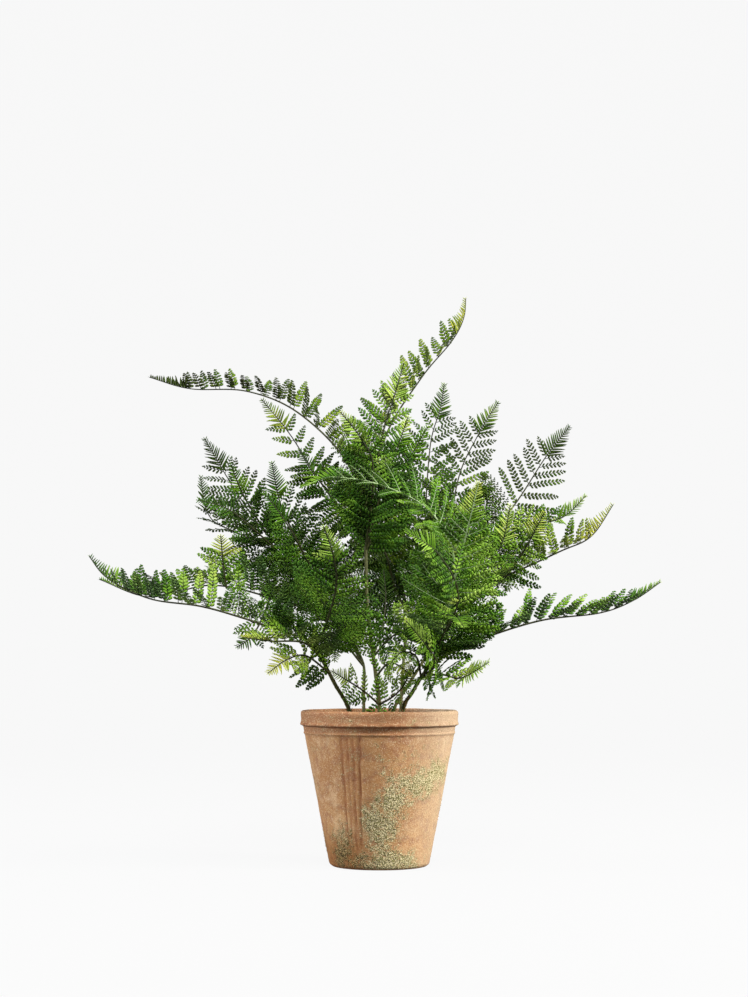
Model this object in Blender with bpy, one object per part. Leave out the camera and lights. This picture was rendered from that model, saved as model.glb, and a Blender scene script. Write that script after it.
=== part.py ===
"""A potted fern: a turned terracotta pot, the soil that fills it and six leafy stems.

Metres, +Z up. The origin is the middle of the pot's flat underside, and the front is -Y.
Routes and sizes in the tables are millimetres, turned to metres by MM where they are used.
"""

from math import cos, pi, radians, sin

import bpy
from mathutils import Vector
from mathutils.bvhtree import BVHTree

MM = 0.001

# Pot: a tapered wall, a rim band with a bead under it, a second ridge and a mould seam.
POT_HEIGHT = 146
POT_FOOT_RADIUS = 47
POT_NECK_RADIUS = 71.5
POT_NECK_HEIGHT = 126
RIM_RADIUS = 75
RIM_BAND_BOTTOM = 131.5
BEAD_STANDS_OUT = 1.0
RIDGE_STANDS_OUT = 0.7
POT_WALL = 6.5
POT_FLOOR = 9
POT_SIDES = 24
SEAM_TURN = -26
SEAM_GROOVES = 4
SEAM_GROOVE_TURN = 3.2
SEAM_DEPTH = 0.9
SEAM_TOP = 122
SEAM_FADE = 22

# Soil: fills the pot to a little below the rim, with plain blind holes for the stems.
SOIL_TOP = 133
SOIL_RELIEF = 1.8
SOIL_SIDES = 18
SOIL_INNER_RINGS = (0.72, 0.4)
FIT_GAP = 0.3
HOLE_SIDE_SHARE = 1.2

# Stems: round, six-sided here, a little thinner at the top.
STEM_SIDES = 6
STEM_STEP = 20
STEM_TAPER = 0.8
STEM_PAST_LAST_FORK = 1.5

# Fronds: a square rib with pinnae to both sides, and a comb of plain leaflets at the tip.
RIB_WIDE_AT_FOOT = 2.2
RIB_WIDE_AT_TIP = 0.7
RIB_THICK_AT_FOOT = 2.0
RIB_THICK_AT_TIP = 0.7
BARE_STEP = 30
COMB_LENGTH = 42
COMB_SHARE_OF_BLADE = 0.4
COMB_LEAFLET = 17
COMB_LEAFLET_SHARE_OF_REACH = 0.6
COMB_LEAST_SHARE = 0.15
COMB_CURVE = 0.7
COMB_PAIRS = 5
TIP_LEAFLET = 4
BLADE_CURVE = 0.65
PINNA_FOOT = 3.2
PINNA_PITCH_SHARE = 0.8
PINNA_PITCH_LEAST = 20
PINNA_PITCH_MOST = 32
ANGLE_AT_TIP = 50
ANGLE_AT_FOOT = 68
LOBE_ANGLE = 54
LOBE_MIDDLE = 0.45
LOBE_TAPER = 0.75
LOBE_SHARE_OF_LENGTH = 0.34
LOBE_SHARE_OF_PITCH = 0.48
ONE_LOBE_PAIR_UNDER = 28
TWO_LOBE_PAIRS_UNDER = 49
END_LEAFLET_SHARE = 0.34
END_LEAFLET_SHARE_OF_LONG = 0.24
END_LEAFLET_WIDE = 0.16
PINNA_DROOP = 0.16
BLADE_THICK = 0.64
PINNA_RIB_THICK = 1.0
PINNA_RIB_WIDE = 1.2

# Where a pinna would cross another frond it is folded, then shortened, until it is clear.
CLEAR_MARGIN = 0.45
FOLD_TRIES = (0, 14, -14, 28, -28, 42, -42)
LENGTH_TRIES = (1.0, 0.8, 0.6)

TERRACOTTA = ("terracotta", (0.42, 0.21, 0.12), 0.9)
SOIL_BROWN = ("soil", (0.035, 0.022, 0.014), 0.95)
FROND_GREEN = ("frond_green", (0.06, 0.19, 0.025), 0.55)


def frond(route, bare, reach, fold, face):
    """A frond's route from its fork to its tip, its bare foot and its longest pinna, in
    millimetres, how far its pinnae fold up in degrees, and where its upper side faces."""
    return {"route": route, "bare": bare, "reach": reach, "fold": fold, "face": face}


STEMS = {
    "fern_stem_left_front": {
        "radius": 2.0,
        "route": [(-24, -16, 102), (-28, -20, 144), (-42, -30, 171), (-54, -38, 194), (-64, -44, 211)],
        "fronds": {
            "long_low_left": frond(
                [(-64, -44, 211), (-88, -50, 219), (-130, -54, 233), (-167, -54, 243),
                 (-214, -50, 250), (-254, -44, 269), (-274, -40, 292)],
                bare=44, reach=46, fold=56, face=(0.15, -0.25, 1),
            ),
            "front_left": frond(
                [(-54, -38, 194), (-70, -66, 209), (-97, -104, 210), (-123, -140, 213)],
                bare=8, reach=46, fold=22, face=(-0.3, -0.5, 0.8),
            ),
            "drooping_left": frond(
                [(-47, -34, 181), (-68, -60, 197), (-85, -84, 193), (-102, -104, 180)],
                bare=12, reach=32, fold=10, face=(-0.2, -0.8, 0.6),
            ),
            "upright_front": frond(
                [(-54, -38, 194), (-54, -48, 212), (-40, -86, 257), (-42, -110, 287), (-51, -126, 314)],
                bare=22, reach=60, fold=8, face=(0, -1, 0.35),
            ),
        },
    },
    "fern_stem_left_back": {
        "radius": 1.6,
        "route": [(-15, 14, 102), (-15, 15, 143), (-15, 17, 164), (-15, 20, 187), (-22, 22, 205)],
        "fronds": {
            "arch_left": frond(
                [(-15, 20, 187), (-56, 26, 259), (-92, 30, 292), (-136, 32, 316),
                 (-166, 32, 333), (-176, 30, 375)],
                bare=64, reach=46, fold=30, face=(0.2, -0.5, 0.8),
            ),
            "upright_left": frond(
                [(-22, 22, 205), (-60, 50, 267), (-111, 64, 317), (-143, 66, 361), (-176, 62, 416)],
                bare=60, reach=46, fold=14, face=(0.3, -0.9, 0.3),
            ),
            "low_left": frond(
                [(-15, 20, 187), (-55, 8, 233), (-105, 4, 253), (-162, 8, 265),
                 (-222, 14, 254), (-274, 20, 272)],
                bare=60, reach=48, fold=54, face=(0, -0.2, 1),
            ),
            "drooping_front": frond(
                [(-22, 22, 205), (-34, -2, 226), (-40, -26, 216), (-42, -44, 190)],
                bare=14, reach=30, fold=14, face=(-0.2, -0.7, 0.7),
            ),
            "back_left": frond(
                [(-22, 22, 205), (-45, 90, 254), (-82, 150, 291), (-125, 205, 300)],
                bare=44, reach=52, fold=22, face=(0.1, 0.2, 1),
            ),
        },
    },
    "fern_stem_middle": {
        "radius": 2.0,
        "route": [(0, -3, 102), (0, -4, 149), (-4, -2, 183), (-8, 0, 212), (-12, 3, 251),
                  (-13, 5, 298), (-14, 6, 318)],
        "fronds": {
            "long_top_left": frond(
                [(-14, 6, 318), (-30, 12, 382), (-78, 18, 433), (-129, 18, 455),
                 (-185, 14, 457), (-226, 8, 468)],
                bare=30, reach=46, fold=50, face=(0.1, -0.2, 1),
            ),
            "top_front": frond(
                [(-13, 5, 298), (-5, -10, 360), (4, -20, 412), (13, -26, 440), (24, -34, 477)],
                bare=26, reach=44, fold=10, face=(-0.1, -1, 0.1),
            ),
            "tallest": frond(
                [(-14, 6, 318), (5, 30, 409), (41, 42, 471), (72, 44, 509), (84, 40, 532),
                 (86, 34, 553)],
                bare=50, reach=40, fold=15, face=(-0.5, -0.8, 0.2),
            ),
            "short_top": frond(
                [(-13, 5, 298), (-6, -30, 373), (-18, -50, 401), (-38, -64, 425)],
                bare=36, reach=38, fold=15, face=(-0.3, -0.9, 0.3),
            ),
            "foot_left": frond(
                [(0, -4, 151), (-15, -18, 164), (-30, -34, 174), (-46, -50, 184)],
                bare=4, reach=27, fold=18, face=(0, -0.8, 0.6),
            ),
            "foot_right": frond(
                [(-3, -2, 178), (8, -22, 190), (18, -44, 188), (30, -66, 178)],
                bare=4, reach=27, fold=18, face=(0, -0.6, 0.8),
            ),
            "inner_back": frond(
                [(-6, -1, 196), (2, 18, 222), (6, 34, 252), (4, 46, 284)],
                bare=10, reach=34, fold=18, face=(0.2, -0.6, 0.8),
            ),
        },
    },
    "fern_stem_right_back": {
        "radius": 1.6,
        "route": [(11, 18, 102), (14, 20, 144), (22, 23, 160), (36, 27, 182), (55, 32, 213),
                  (66, 34, 240), (74, 34, 259)],
        "fronds": {
            "upright_right": frond(
                [(74, 34, 259), (101, 46, 303), (138, 54, 352), (166, 56, 395), (191, 54, 427)],
                bare=30, reach=58, fold=12, face=(-0.2, -0.95, 0.1),
            ),
            "upper_right": frond(
                [(55, 32, 213), (66, 56, 292), (79, 70, 373), (99, 74, 418), (121, 72, 454)],
                bare=70, reach=48, fold=12, face=(-0.2, -0.95, 0.1),
            ),
            "arch_right": frond(
                [(74, 34, 259), (123, 22, 275), (175, 12, 298), (204, 4, 312), (226, -4, 344)],
                bare=30, reach=46, fold=42, face=(-0.3, -0.4, 0.9),
            ),
            "upper_back": frond(
                [(55, 32, 213), (47, 84, 314), (52, 104, 409), (63, 106, 451), (67, 104, 478)],
                bare=80, reach=44, fold=10, face=(0.1, -1, 0.1),
            ),
            "back_right": frond(
                [(66, 34, 240), (92, 90, 264), (118, 150, 276), (143, 205, 273)],
                bare=36, reach=52, fold=22, face=(-0.1, 0.2, 1),
            ),
        },
    },
    "fern_stem_middle_back": {
        "radius": 1.7,
        "route": [(19, 36, 102), (21, 38, 144), (22, 44, 167), (25, 56, 203), (30, 68, 236)],
        "fronds": {
            "upper_left": frond(
                [(30, 68, 236), (16, 70, 264), (5, 66, 302), (-15, 56, 326), (-46, 48, 352),
                 (-68, 44, 384), (-90, 42, 418), (-118, 40, 452)],
                bare=70, reach=46, fold=14, face=(0.3, -0.9, 0.3),
            ),
            "upright_back": frond(
                [(30, 68, 236), (18, 92, 294), (9, 120, 368), (5, 150, 423)],
                bare=40, reach=50, fold=15, face=(0, 0.9, 0.4),
            ),
            "back": frond(
                [(25, 56, 203), (25, 110, 264), (24, 170, 303), (23, 230, 302)],
                bare=40, reach=56, fold=20, face=(0, 0.3, 1),
            ),
            "inner_left_back": frond(
                [(30, 68, 236), (-2, 112, 297), (-38, 152, 346), (-72, 190, 378)],
                bare=40, reach=52, fold=20, face=(-0.1, 0.5, 0.9),
            ),
        },
    },
    "fern_stem_right_front": {
        "radius": 2.0,
        "route": [(25, -14, 102), (22, -17, 145), (31, -23, 163), (39, -29, 177), (49, -36, 191)],
        "fronds": {
            "long_low_right": frond(
                [(49, -36, 191), (96, -44, 213), (151, -46, 230), (206, -44, 237),
                 (238, -42, 249), (265, -40, 267)],
                bare=60, reach=42, fold=54, face=(-0.1, -0.2, 1),
            ),
            "front_right_low": frond(
                [(39, -29, 177), (56, -60, 180), (74, -96, 177), (98, -128, 192)],
                bare=12, reach=36, fold=20, face=(0.1, -0.6, 0.8),
            ),
            "crossing_low": frond(
                [(39, -29, 177), (52, -66, 190), (40, -104, 208), (21, -130, 230)],
                bare=16, reach=38, fold=20, face=(0.3, -0.4, 0.85),
            ),
            "upright_face": frond(
                [(49, -36, 191), (61, -64, 239), (75, -92, 293), (90, -112, 355)],
                bare=30, reach=52, fold=8, face=(0, -1, 0.3),
            ),
            "crossing_front": frond(
                [(49, -36, 191), (71, -88, 247), (54, -124, 285), (20, -150, 308)],
                bare=34, reach=44, fold=15, face=(0.3, -0.8, 0.5),
            ),
            "over_the_top": frond(
                [(49, -36, 191), (70, -52, 276), (50, -64, 327), (6, -76, 352),
                 (-42, -84, 360), (-74, -84, 350)],
                bare=70, reach=50, fold=25, face=(0, -0.5, 0.85),
            ),
            "front_right": frond(
                [(49, -36, 191), (60, -100, 222), (66, -150, 230), (72, -190, 220)],
                bare=34, reach=46, fold=20, face=(0.1, -0.3, 1),
            ),
            "yellow_right": frond(
                [(49, -36, 191), (84, -50, 258), (112, -58, 297), (122, -60, 339)],
                bare=44, reach=44, fold=15, face=(-0.3, -0.9, 0.3),
            ),
        },
    },
}


class Path:
    """A smooth curve through a route's points, read by its length from the first of them."""

    SAMPLES = 14

    def __init__(self, route):
        ends = [Vector(point) * MM for point in route]
        knots = [ends[0] * 2 - ends[1]] + ends + [ends[-1] * 2 - ends[-2]]
        self.points = [ends[0]]
        for before, start, end, after in zip(knots, knots[1:], knots[2:], knots[3:]):
            for step in range(1, self.SAMPLES + 1):
                t = step / self.SAMPLES
                self.points.append(
                    0.5
                    * (
                        2 * start
                        + (end - before) * t
                        + (2 * before - 5 * start + 4 * end - after) * t**2
                        + (3 * start - before - 3 * end + after) * t**3
                    )
                )
        self.marks = [0.0]
        for start, end in zip(self.points, self.points[1:]):
            self.marks.append(self.marks[-1] + (end - start).length)
        self.length = self.marks[-1]

    def point(self, distance):
        """The point at a distance along the curve, past either end too."""
        for index in range(1, len(self.marks)):
            if distance <= self.marks[index] or index == len(self.marks) - 1:
                break
        start, end = self.points[index - 1], self.points[index]
        share = (distance - self.marks[index - 1]) / (self.marks[index] - self.marks[index - 1])
        return start + (end - start) * share

    def direction(self, distance):
        """The curve's direction, taken over a few millimetres."""
        span = 3 * MM
        return (self.point(distance + span) - self.point(distance - span)).normalized()


class Blade:
    """A thin closed sheet. Its points come in pairs, one on the upper face and one below."""

    def __init__(self, extra=0.0):
        self.points = []
        self.faces = []
        self.extra = extra

    def pair(self, point, normal, thickness):
        half = normal * (thickness / 2 + self.extra)
        self.points += [point + half, point - half]
        return len(self.points) - 2

    def skin(self, a, b, c):
        self.faces += [(a, b, c), (c + 1, b + 1, a + 1)]

    def wall(self, a, b):
        self.faces += [(a + 1, b + 1, b), (a + 1, b, a)]

    def tree(self):
        return BVHTree.FromPolygons(self.points, self.faces)


def new_object(name, points, faces, material):
    """A mesh object of the given points and faces, with its finish."""
    mesh = bpy.data.meshes.new(name)
    mesh.from_pydata([tuple(point) for point in points], [], faces)
    mesh.materials.append(material)
    thing = bpy.data.objects.new(name, mesh)
    bpy.context.scene.collection.objects.link(thing)
    return thing


def new_material(name, colour, roughness):
    material = bpy.data.materials.new(name)
    material.use_nodes = True
    shader = material.node_tree.nodes["Principled BSDF"]
    shader.inputs["Base Color"].default_value = (*colour, 1)
    shader.inputs["Roughness"].default_value = roughness
    shader.inputs["Metallic"].default_value = 0
    return material


def combine(name, thing, others, operation, material):
    """One Boolean on a collection joins or cuts with all the others, which are then removed."""
    group = bpy.data.collections.new(name + "_pieces")
    bpy.context.scene.collection.children.link(group)
    for other in others:
        bpy.context.scene.collection.objects.unlink(other)
        group.objects.link(other)
    boolean = thing.modifiers.new("combine", "BOOLEAN")
    boolean.operation = operation
    boolean.operand_type = "COLLECTION"
    boolean.collection = group
    boolean.solver = "MANIFOLD"
    graph = bpy.context.evaluated_depsgraph_get()
    mesh = bpy.data.meshes.new_from_object(thing.evaluated_get(graph))
    mesh.name = name
    mesh.materials.clear()
    mesh.materials.append(material)
    for old in [thing, *others]:
        bpy.data.objects.remove(old)
    bpy.data.collections.remove(group)
    result = bpy.data.objects.new(name, mesh)
    bpy.context.scene.collection.objects.link(result)
    return result


def shade_round(thing, angle):
    thing.data.shade_smooth()
    thing.data.set_sharp_from_angle(angle=radians(angle))


def tube(path, start, end, radius):
    """A round, tapered tube's points and faces along a path, between two distances."""
    sides = STEM_SIDES
    steps = max(2, round((end - start) / (STEM_STEP * MM)))
    points, faces = [], []
    for step in range(steps + 1):
        distance = start + (end - start) * step / steps
        along = path.direction(distance)
        across = Vector((0, 1, 0)).cross(along).normalized()
        over = along.cross(across)
        size = radius * (1 + (STEM_TAPER - 1) * step / steps)
        for side in range(sides):
            turn = 2 * pi * side / sides
            points.append(path.point(distance) + (across * cos(turn) + over * sin(turn)) * size)
    for step in range(steps):
        for side in range(sides):
            a = step * sides + side
            b = step * sides + (side + 1) % sides
            faces += [(a, b, b + sides), (a, b + sides, a + sides)]
    for side in range(1, sides - 1):
        last = steps * sides
        faces += [(0, side + 1, side), (last, last + side, last + side + 1)]
    return points, faces


def pot_profile():
    """The pot's outline as (radius, height), up the outside and down the inside."""
    slope = (POT_NECK_RADIUS - POT_FOOT_RADIUS) / POT_NECK_HEIGHT

    def wall(height):
        return POT_FOOT_RADIUS + slope * height

    outside = [(POT_FOOT_RADIUS - 3, 0), (POT_FOOT_RADIUS - 0.7, 0.8), (wall(3), 3)]
    outside += [(wall(height), height) for height in (SEAM_FADE, SEAM_TOP)]
    outside += [
        (wall(SEAM_TOP + 1.5) + RIDGE_STANDS_OUT, SEAM_TOP + 1.5),
        (wall(SEAM_TOP + 3.5), SEAM_TOP + 3.5),
        (wall(RIM_BAND_BOTTOM - 1), RIM_BAND_BOTTOM - 1),
        (RIM_RADIUS + BEAD_STANDS_OUT - 0.5, RIM_BAND_BOTTOM),
        (RIM_RADIUS + BEAD_STANDS_OUT, RIM_BAND_BOTTOM + 2),
        (RIM_RADIUS - 0.4, RIM_BAND_BOTTOM + 3.4),
        (RIM_RADIUS, POT_HEIGHT - 1.6),
        (RIM_RADIUS - 1.4, POT_HEIGHT),
    ]
    inside = [
        (RIM_RADIUS - POT_WALL + 1, POT_HEIGHT),
        (RIM_RADIUS - POT_WALL, POT_HEIGHT - 1.6),
        (wall(POT_NECK_HEIGHT) - POT_WALL, POT_NECK_HEIGHT),
        (wall(POT_FLOOR) - POT_WALL, POT_FLOOR),
    ]
    return outside, inside


def seam_turns():
    """The turns about the pot's axis that its sides are set at, closer over the seam."""
    plain = [360 * side / POT_SIDES - 180 for side in range(POT_SIDES)]
    half = SEAM_GROOVES * SEAM_GROOVE_TURN / 2
    fine = [SEAM_TURN - half + SEAM_GROOVE_TURN * step / 2 for step in range(2 * SEAM_GROOVES + 1)]
    kept = [turn for turn in plain if abs(turn - SEAM_TURN) > half + 2]
    return sorted(kept + fine), fine[1::2]


def build_pot(material):
    """Turned walls, with the seam's grooves pressed into the outside."""
    outside, inside = pot_profile()
    turns, grooves = seam_turns()
    points, faces = [], []
    for ring, (radius, height) in enumerate(outside + inside):
        for turn in turns:
            groove = turn in grooves and ring < len(outside) and SEAM_FADE <= height <= SEAM_TOP
            size = radius - (SEAM_DEPTH if groove else 0)
            around = radians(turn)
            points.append(Vector((size * sin(around), -size * cos(around), height)) * MM)
    count = len(turns)
    rings = len(outside) + len(inside)
    for ring in range(rings - 1):
        for side in range(count):
            a = ring * count + side
            b = ring * count + (side + 1) % count
            faces += [(a, b, b + count), (a, b + count, a + count)]
    foot = len(points)
    points.append(Vector((0, 0, 0)))
    floor = len(points)
    points.append(Vector((0, 0, POT_FLOOR * MM)))
    for side in range(count):
        after = (side + 1) % count
        last = (rings - 1) * count
        faces += [(foot, after, side), (floor, last + side, last + after)]
    pot = new_object("pot", points, faces, material)
    shade_round(pot, 28)
    return pot


def build_soil(material, stem_paths):
    """A plug that fits the pot, its top low and uneven, with a hole for each stem."""
    slope = (POT_NECK_RADIUS - POT_FOOT_RADIUS) / POT_NECK_HEIGHT
    foot_height = POT_FLOOR + FIT_GAP

    def radius(height):
        flat_side = cos(pi / POT_SIDES)
        return (POT_FOOT_RADIUS + slope * height - POT_WALL) * flat_side - FIT_GAP

    points, faces = [], []
    rings = [(1.0, foot_height, 0), (1.0, SOIL_TOP - SOIL_RELIEF, 0)]
    rings += [(share, SOIL_TOP, SOIL_RELIEF) for share in SOIL_INNER_RINGS]
    for share, height, relief in rings:
        for side in range(SOIL_SIDES):
            around = 2 * pi * side / SOIL_SIDES
            lump = 0.6 * sin(3 * around + 9 * share) + 0.4 * sin(7 * around - 5 * share)
            size = radius(height if relief == 0 else SOIL_TOP - SOIL_RELIEF) * share
            top = height + relief * lump
            points.append(Vector((size * sin(around), -size * cos(around), top)) * MM)
    count = SOIL_SIDES
    for ring in range(len(rings) - 1):
        for side in range(count):
            a = ring * count + side
            b = ring * count + (side + 1) % count
            faces += [(a, b, b + count), (a, b + count, a + count)]
    foot = len(points)
    points.append(Vector((0, 0, foot_height * MM)))
    crown = len(points)
    points.append(Vector((0, 0, (SOIL_TOP + SOIL_RELIEF / 2) * MM)))
    for side in range(count):
        after = (side + 1) % count
        last = (len(rings) - 1) * count
        faces += [(foot, after, side), (crown, last + side, last + after)]
    plug = new_object("soil_plug", points, faces, material)
    cutters = []
    for name, path in stem_paths.items():
        wide = STEMS[name]["radius"] + FIT_GAP * HOLE_SIDE_SHARE
        end = path.length + STEM_PAST_LAST_FORK * MM
        cutters.append(new_object("hole", *tube(path, -FIT_GAP * MM, end, wide * MM), material))
    soil = combine("soil", plug, cutters, "DIFFERENCE", material)
    shade_round(soil, 40)
    return soil


def pinna_length(from_tip, blade, reach):
    """How long a pinna is at a distance from the frond's tip, in millimetres."""
    comb = min(COMB_LENGTH, COMB_SHARE_OF_BLADE * blade)
    leaflet = min(COMB_LEAFLET, reach * COMB_LEAFLET_SHARE_OF_REACH)
    if from_tip < comb:
        return leaflet * max(COMB_LEAST_SHARE, from_tip / comb) ** COMB_CURVE
    return leaflet + (reach - leaflet) * ((from_tip - comb) / (blade - comb)) ** BLADE_CURVE


def stretches(length, bare, reach):
    """The rib from its foot to its tip as (end of the stretch, what grows on it), in mm."""
    blade = length - bare
    comb = min(COMB_LENGTH, COMB_SHARE_OF_BLADE * blade)
    found = []
    from_tip = comb
    while True:
        longest = pinna_length(from_tip, blade, reach)
        pitch = min(PINNA_PITCH_MOST, max(PINNA_PITCH_LEAST, PINNA_PITCH_SHARE * longest))
        if from_tip + pitch > blade:
            break
        middle = length - from_tip - pitch / 2
        found.append((length - from_tip, "bare", 0))
        found.append((middle + PINNA_FOOT / 2, "pinna", pitch))
        found.append((middle - PINNA_FOOT / 2, "bare", 0))
        from_tip += pitch
    joined = []
    for end, kind, pitch in reversed(found):
        if joined and kind == "bare" and joined[-1][1] == "bare":
            joined.pop()
        joined.append((end, kind, pitch))
    first = joined[0][0] if joined else length - comb
    steps = max(1, round(first / BARE_STEP))
    bare_foot = [(first * step / steps, "bare", 0) for step in range(1, steps)]
    teeth = (comb - TIP_LEAFLET) / COMB_PAIRS
    comb_foot = length - comb
    comb_ends = [(comb_foot + teeth * (step + 1), "leaflet", teeth) for step in range(COMB_PAIRS)]
    return bare_foot + joined + comb_ends


def frame_at(path, distance, face):
    """The rib's point, its direction, its right-hand side and its upper side."""
    along = path.direction(distance)
    up = (face - along * face.dot(along)).normalized()
    return path.point(distance), along, along.cross(up), up


def lobe_pairs(length, pitch):
    """How many pairs of lobes a pinna has. A leaflet of the comb, with no pitch, has none."""
    if pitch == 0:
        return 0
    if length < ONE_LOBE_PAIR_UNDER * MM:
        return 1
    return 2 if length < TWO_LOBE_PAIRS_UNDER * MM else 3


def grow_pinna(blade, right, left, foot, along, out, up, length, pitch):
    """A pinna between two pairs of the rib's side: a thin rib with lobes cut to it."""
    pairs = lobe_pairs(length, pitch)
    side = out.cross(up)
    widest = min(LOBE_SHARE_OF_LENGTH * length, LOBE_SHARE_OF_PITCH * pitch * MM)
    end_leaflet = END_LEAFLET_SHARE if pairs < 3 else END_LEAFLET_SHARE_OF_LONG

    def rib(share):
        sag = up * (PINNA_DROOP * length * share**2)
        return foot + out * (length * share) - sag

    lobe_out = out * cos(radians(LOBE_ANGLE))
    lobe_side = side * sin(radians(LOBE_ANGLE))
    for step in range(pairs):
        start = step * (1 - end_leaflet) / pairs
        end = (step + 1) * (1 - end_leaflet) / pairs
        lobe = widest * (1 - LOBE_TAPER * start) / sin(radians(LOBE_ANGLE))
        middle = rib(start + LOBE_MIDDLE * (end - start))
        half = side * (PINNA_RIB_WIDE * MM / 2)
        if step == pairs - 1:
            half = side * (END_LEAFLET_WIDE * end_leaflet * length)
        far_right = blade.pair(middle + (lobe_out + lobe_side) * lobe, up, BLADE_THICK * MM)
        far_left = blade.pair(middle + (lobe_out - lobe_side) * lobe, up, BLADE_THICK * MM)
        next_right = blade.pair(rib(end) + half, up, PINNA_RIB_THICK * MM)
        next_left = blade.pair(rib(end) - half, up, PINNA_RIB_THICK * MM)
        blade.skin(right, far_right, next_right)
        blade.skin(left, right, next_right)
        blade.skin(left, next_right, next_left)
        blade.skin(left, next_left, far_left)
        blade.wall(right, far_right)
        blade.wall(far_right, next_right)
        blade.wall(next_left, far_left)
        blade.wall(far_left, left)
        right, left = next_right, next_left
    tip = blade.pair(rib(1), up, BLADE_THICK * MM)
    blade.skin(left, right, tip)
    blade.wall(right, tip)
    blade.wall(tip, left)


class Taken:
    """What already stands in the way: trees of the pieces, with their boxes and owners."""

    def __init__(self):
        self.items = []

    def add(self, blade, owner, ribs):
        low = [min(point[axis] for point in blade.points) for axis in range(3)]
        high = [max(point[axis] for point in blade.points) for axis in range(3)]
        self.items.append((low, high, blade.tree(), owner, ribs))

    def hits(self, blade, owner, leaflet):
        """Whether the blade touches anything but the rib that it grows from."""
        low = [min(point[axis] for point in blade.points) for axis in range(3)]
        high = [max(point[axis] for point in blade.points) for axis in range(3)]
        tree = blade.tree()
        for other_low, other_high, other_tree, other_owner, ribs in self.items:
            if other_owner == owner and (ribs or leaflet):
                continue
            if any(low[axis] > other_high[axis] or high[axis] < other_low[axis] for axis in range(3)):
                continue
            if tree.overlap(other_tree):
                return True
        return False


def clear_pinna(taken, owner, frame, turn, angle, fold, length, pitch, wide):
    """The first fold and length with which a pinna is clear, or None where none is."""
    point, along, side, up = frame
    for share in LENGTH_TRIES:
        for change in FOLD_TRIES:
            lift = radians(fold + change)
            flat = side * (turn * cos(lift)) + up * sin(lift)
            over = up * cos(lift) - side * (turn * sin(lift))
            out = along * cos(angle) + flat * sin(angle)
            foot = point + side * (turn * wide / 2)
            trial = Blade(extra=CLEAR_MARGIN * MM)
            ends = [
                trial.pair(foot + along * (reach * PINNA_FOOT * MM / 2), over, PINNA_RIB_THICK * MM)
                for reach in (-turn, turn)
            ]
            grow_pinna(trial, *ends, foot, along, out, over, length * share, pitch)
            trial.wall(ends[1], ends[0])
            if not taken.hits(trial, owner, leaflet=pitch == 0):
                taken.add(trial, owner, ribs=False)
                return foot, out, over, length * share
    return None


def rib_size(distance, length):
    """The rib's width and thickness at a distance from its foot."""
    share = distance / length
    wide = RIB_WIDE_AT_FOOT + (RIB_WIDE_AT_TIP - RIB_WIDE_AT_FOOT) * share
    thick = RIB_THICK_AT_FOOT + (RIB_THICK_AT_TIP - RIB_THICK_AT_FOOT) * share
    return wide * MM, thick * MM


def lay_rib(blade, path, marks, face):
    """The rib's pairs of points, right and left, at each mark along it."""
    rails = []
    for mark in marks:
        point, along, side, up = frame_at(path, mark, face)
        wide, thick = rib_size(mark, path.length)
        rails.append(
            (
                blade.pair(point + side * (wide / 2), up, thick),
                blade.pair(point - side * (wide / 2), up, thick),
            )
        )
    return rails


def rib_alone(path, marks, face):
    """The rib without its pinnae, a little fat, to keep the others' pinnae off it."""
    blade = Blade(extra=CLEAR_MARGIN * MM)
    rails = lay_rib(blade, path, marks, face)
    blade.wall(rails[0][1], rails[0][0])
    for (right, left), (next_right, next_left) in zip(rails, rails[1:]):
        blade.skin(left, right, next_right)
        blade.skin(left, next_right, next_left)
        blade.wall(right, next_right)
        blade.wall(next_left, left)
    blade.wall(rails[-1][0], rails[-1][1])
    return blade


def build_frond(plan, owner, taken, material):
    """A frond as one closed solid: rib, pinnae that keep clear of the rest, and comb."""
    path = Path(plan["route"])
    face = Vector(plan["face"]).normalized()
    length = path.length / MM
    parts = stretches(length, plan["bare"], plan["reach"])
    marks = [0] + [end * MM for end, kind, pitch in parts]
    blade = Blade()
    rails = lay_rib(blade, path, marks, face)
    blade.wall(rails[0][1], rails[0][0])
    blade_length = length - plan["bare"]
    for index, (end, kind, pitch) in enumerate(parts):
        right, left = rails[index]
        next_right, next_left = rails[index + 1]
        blade.skin(left, right, next_right)
        blade.skin(left, next_right, next_left)
        if kind == "bare":
            blade.wall(right, next_right)
            blade.wall(next_left, left)
            continue
        middle = (marks[index] + marks[index + 1]) / 2
        from_tip = length - middle / MM
        frame = frame_at(path, middle, face)
        wide = rib_size(middle, path.length)[0]
        share = from_tip / blade_length
        angle = radians(ANGLE_AT_TIP + (ANGLE_AT_FOOT - ANGLE_AT_TIP) * share)
        size = pinna_length(from_tip, blade_length, plan["reach"]) * MM
        lobe_pitch = pitch if kind == "pinna" else 0
        for turn, low, high in ((1, right, next_right), (-1, left, next_left)):
            found = clear_pinna(
                taken, owner, frame, turn, angle, plan["fold"], size, lobe_pitch, wide
            )
            first, last = (low, high) if turn == 1 else (high, low)
            if found is None:
                blade.wall(first, last)
                continue
            foot, out, over, grown = found
            grow_pinna(blade, first, last, foot, frame[1], out, over, grown, lobe_pitch)
    tip = blade.pair(path.point(path.length), frame_at(path, path.length, face)[3], BLADE_THICK * MM)
    right, left = rails[-1]
    blade.skin(left, right, tip)
    blade.wall(right, tip)
    blade.wall(tip, left)
    return new_object("frond", blade.points, blade.faces, material)


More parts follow.
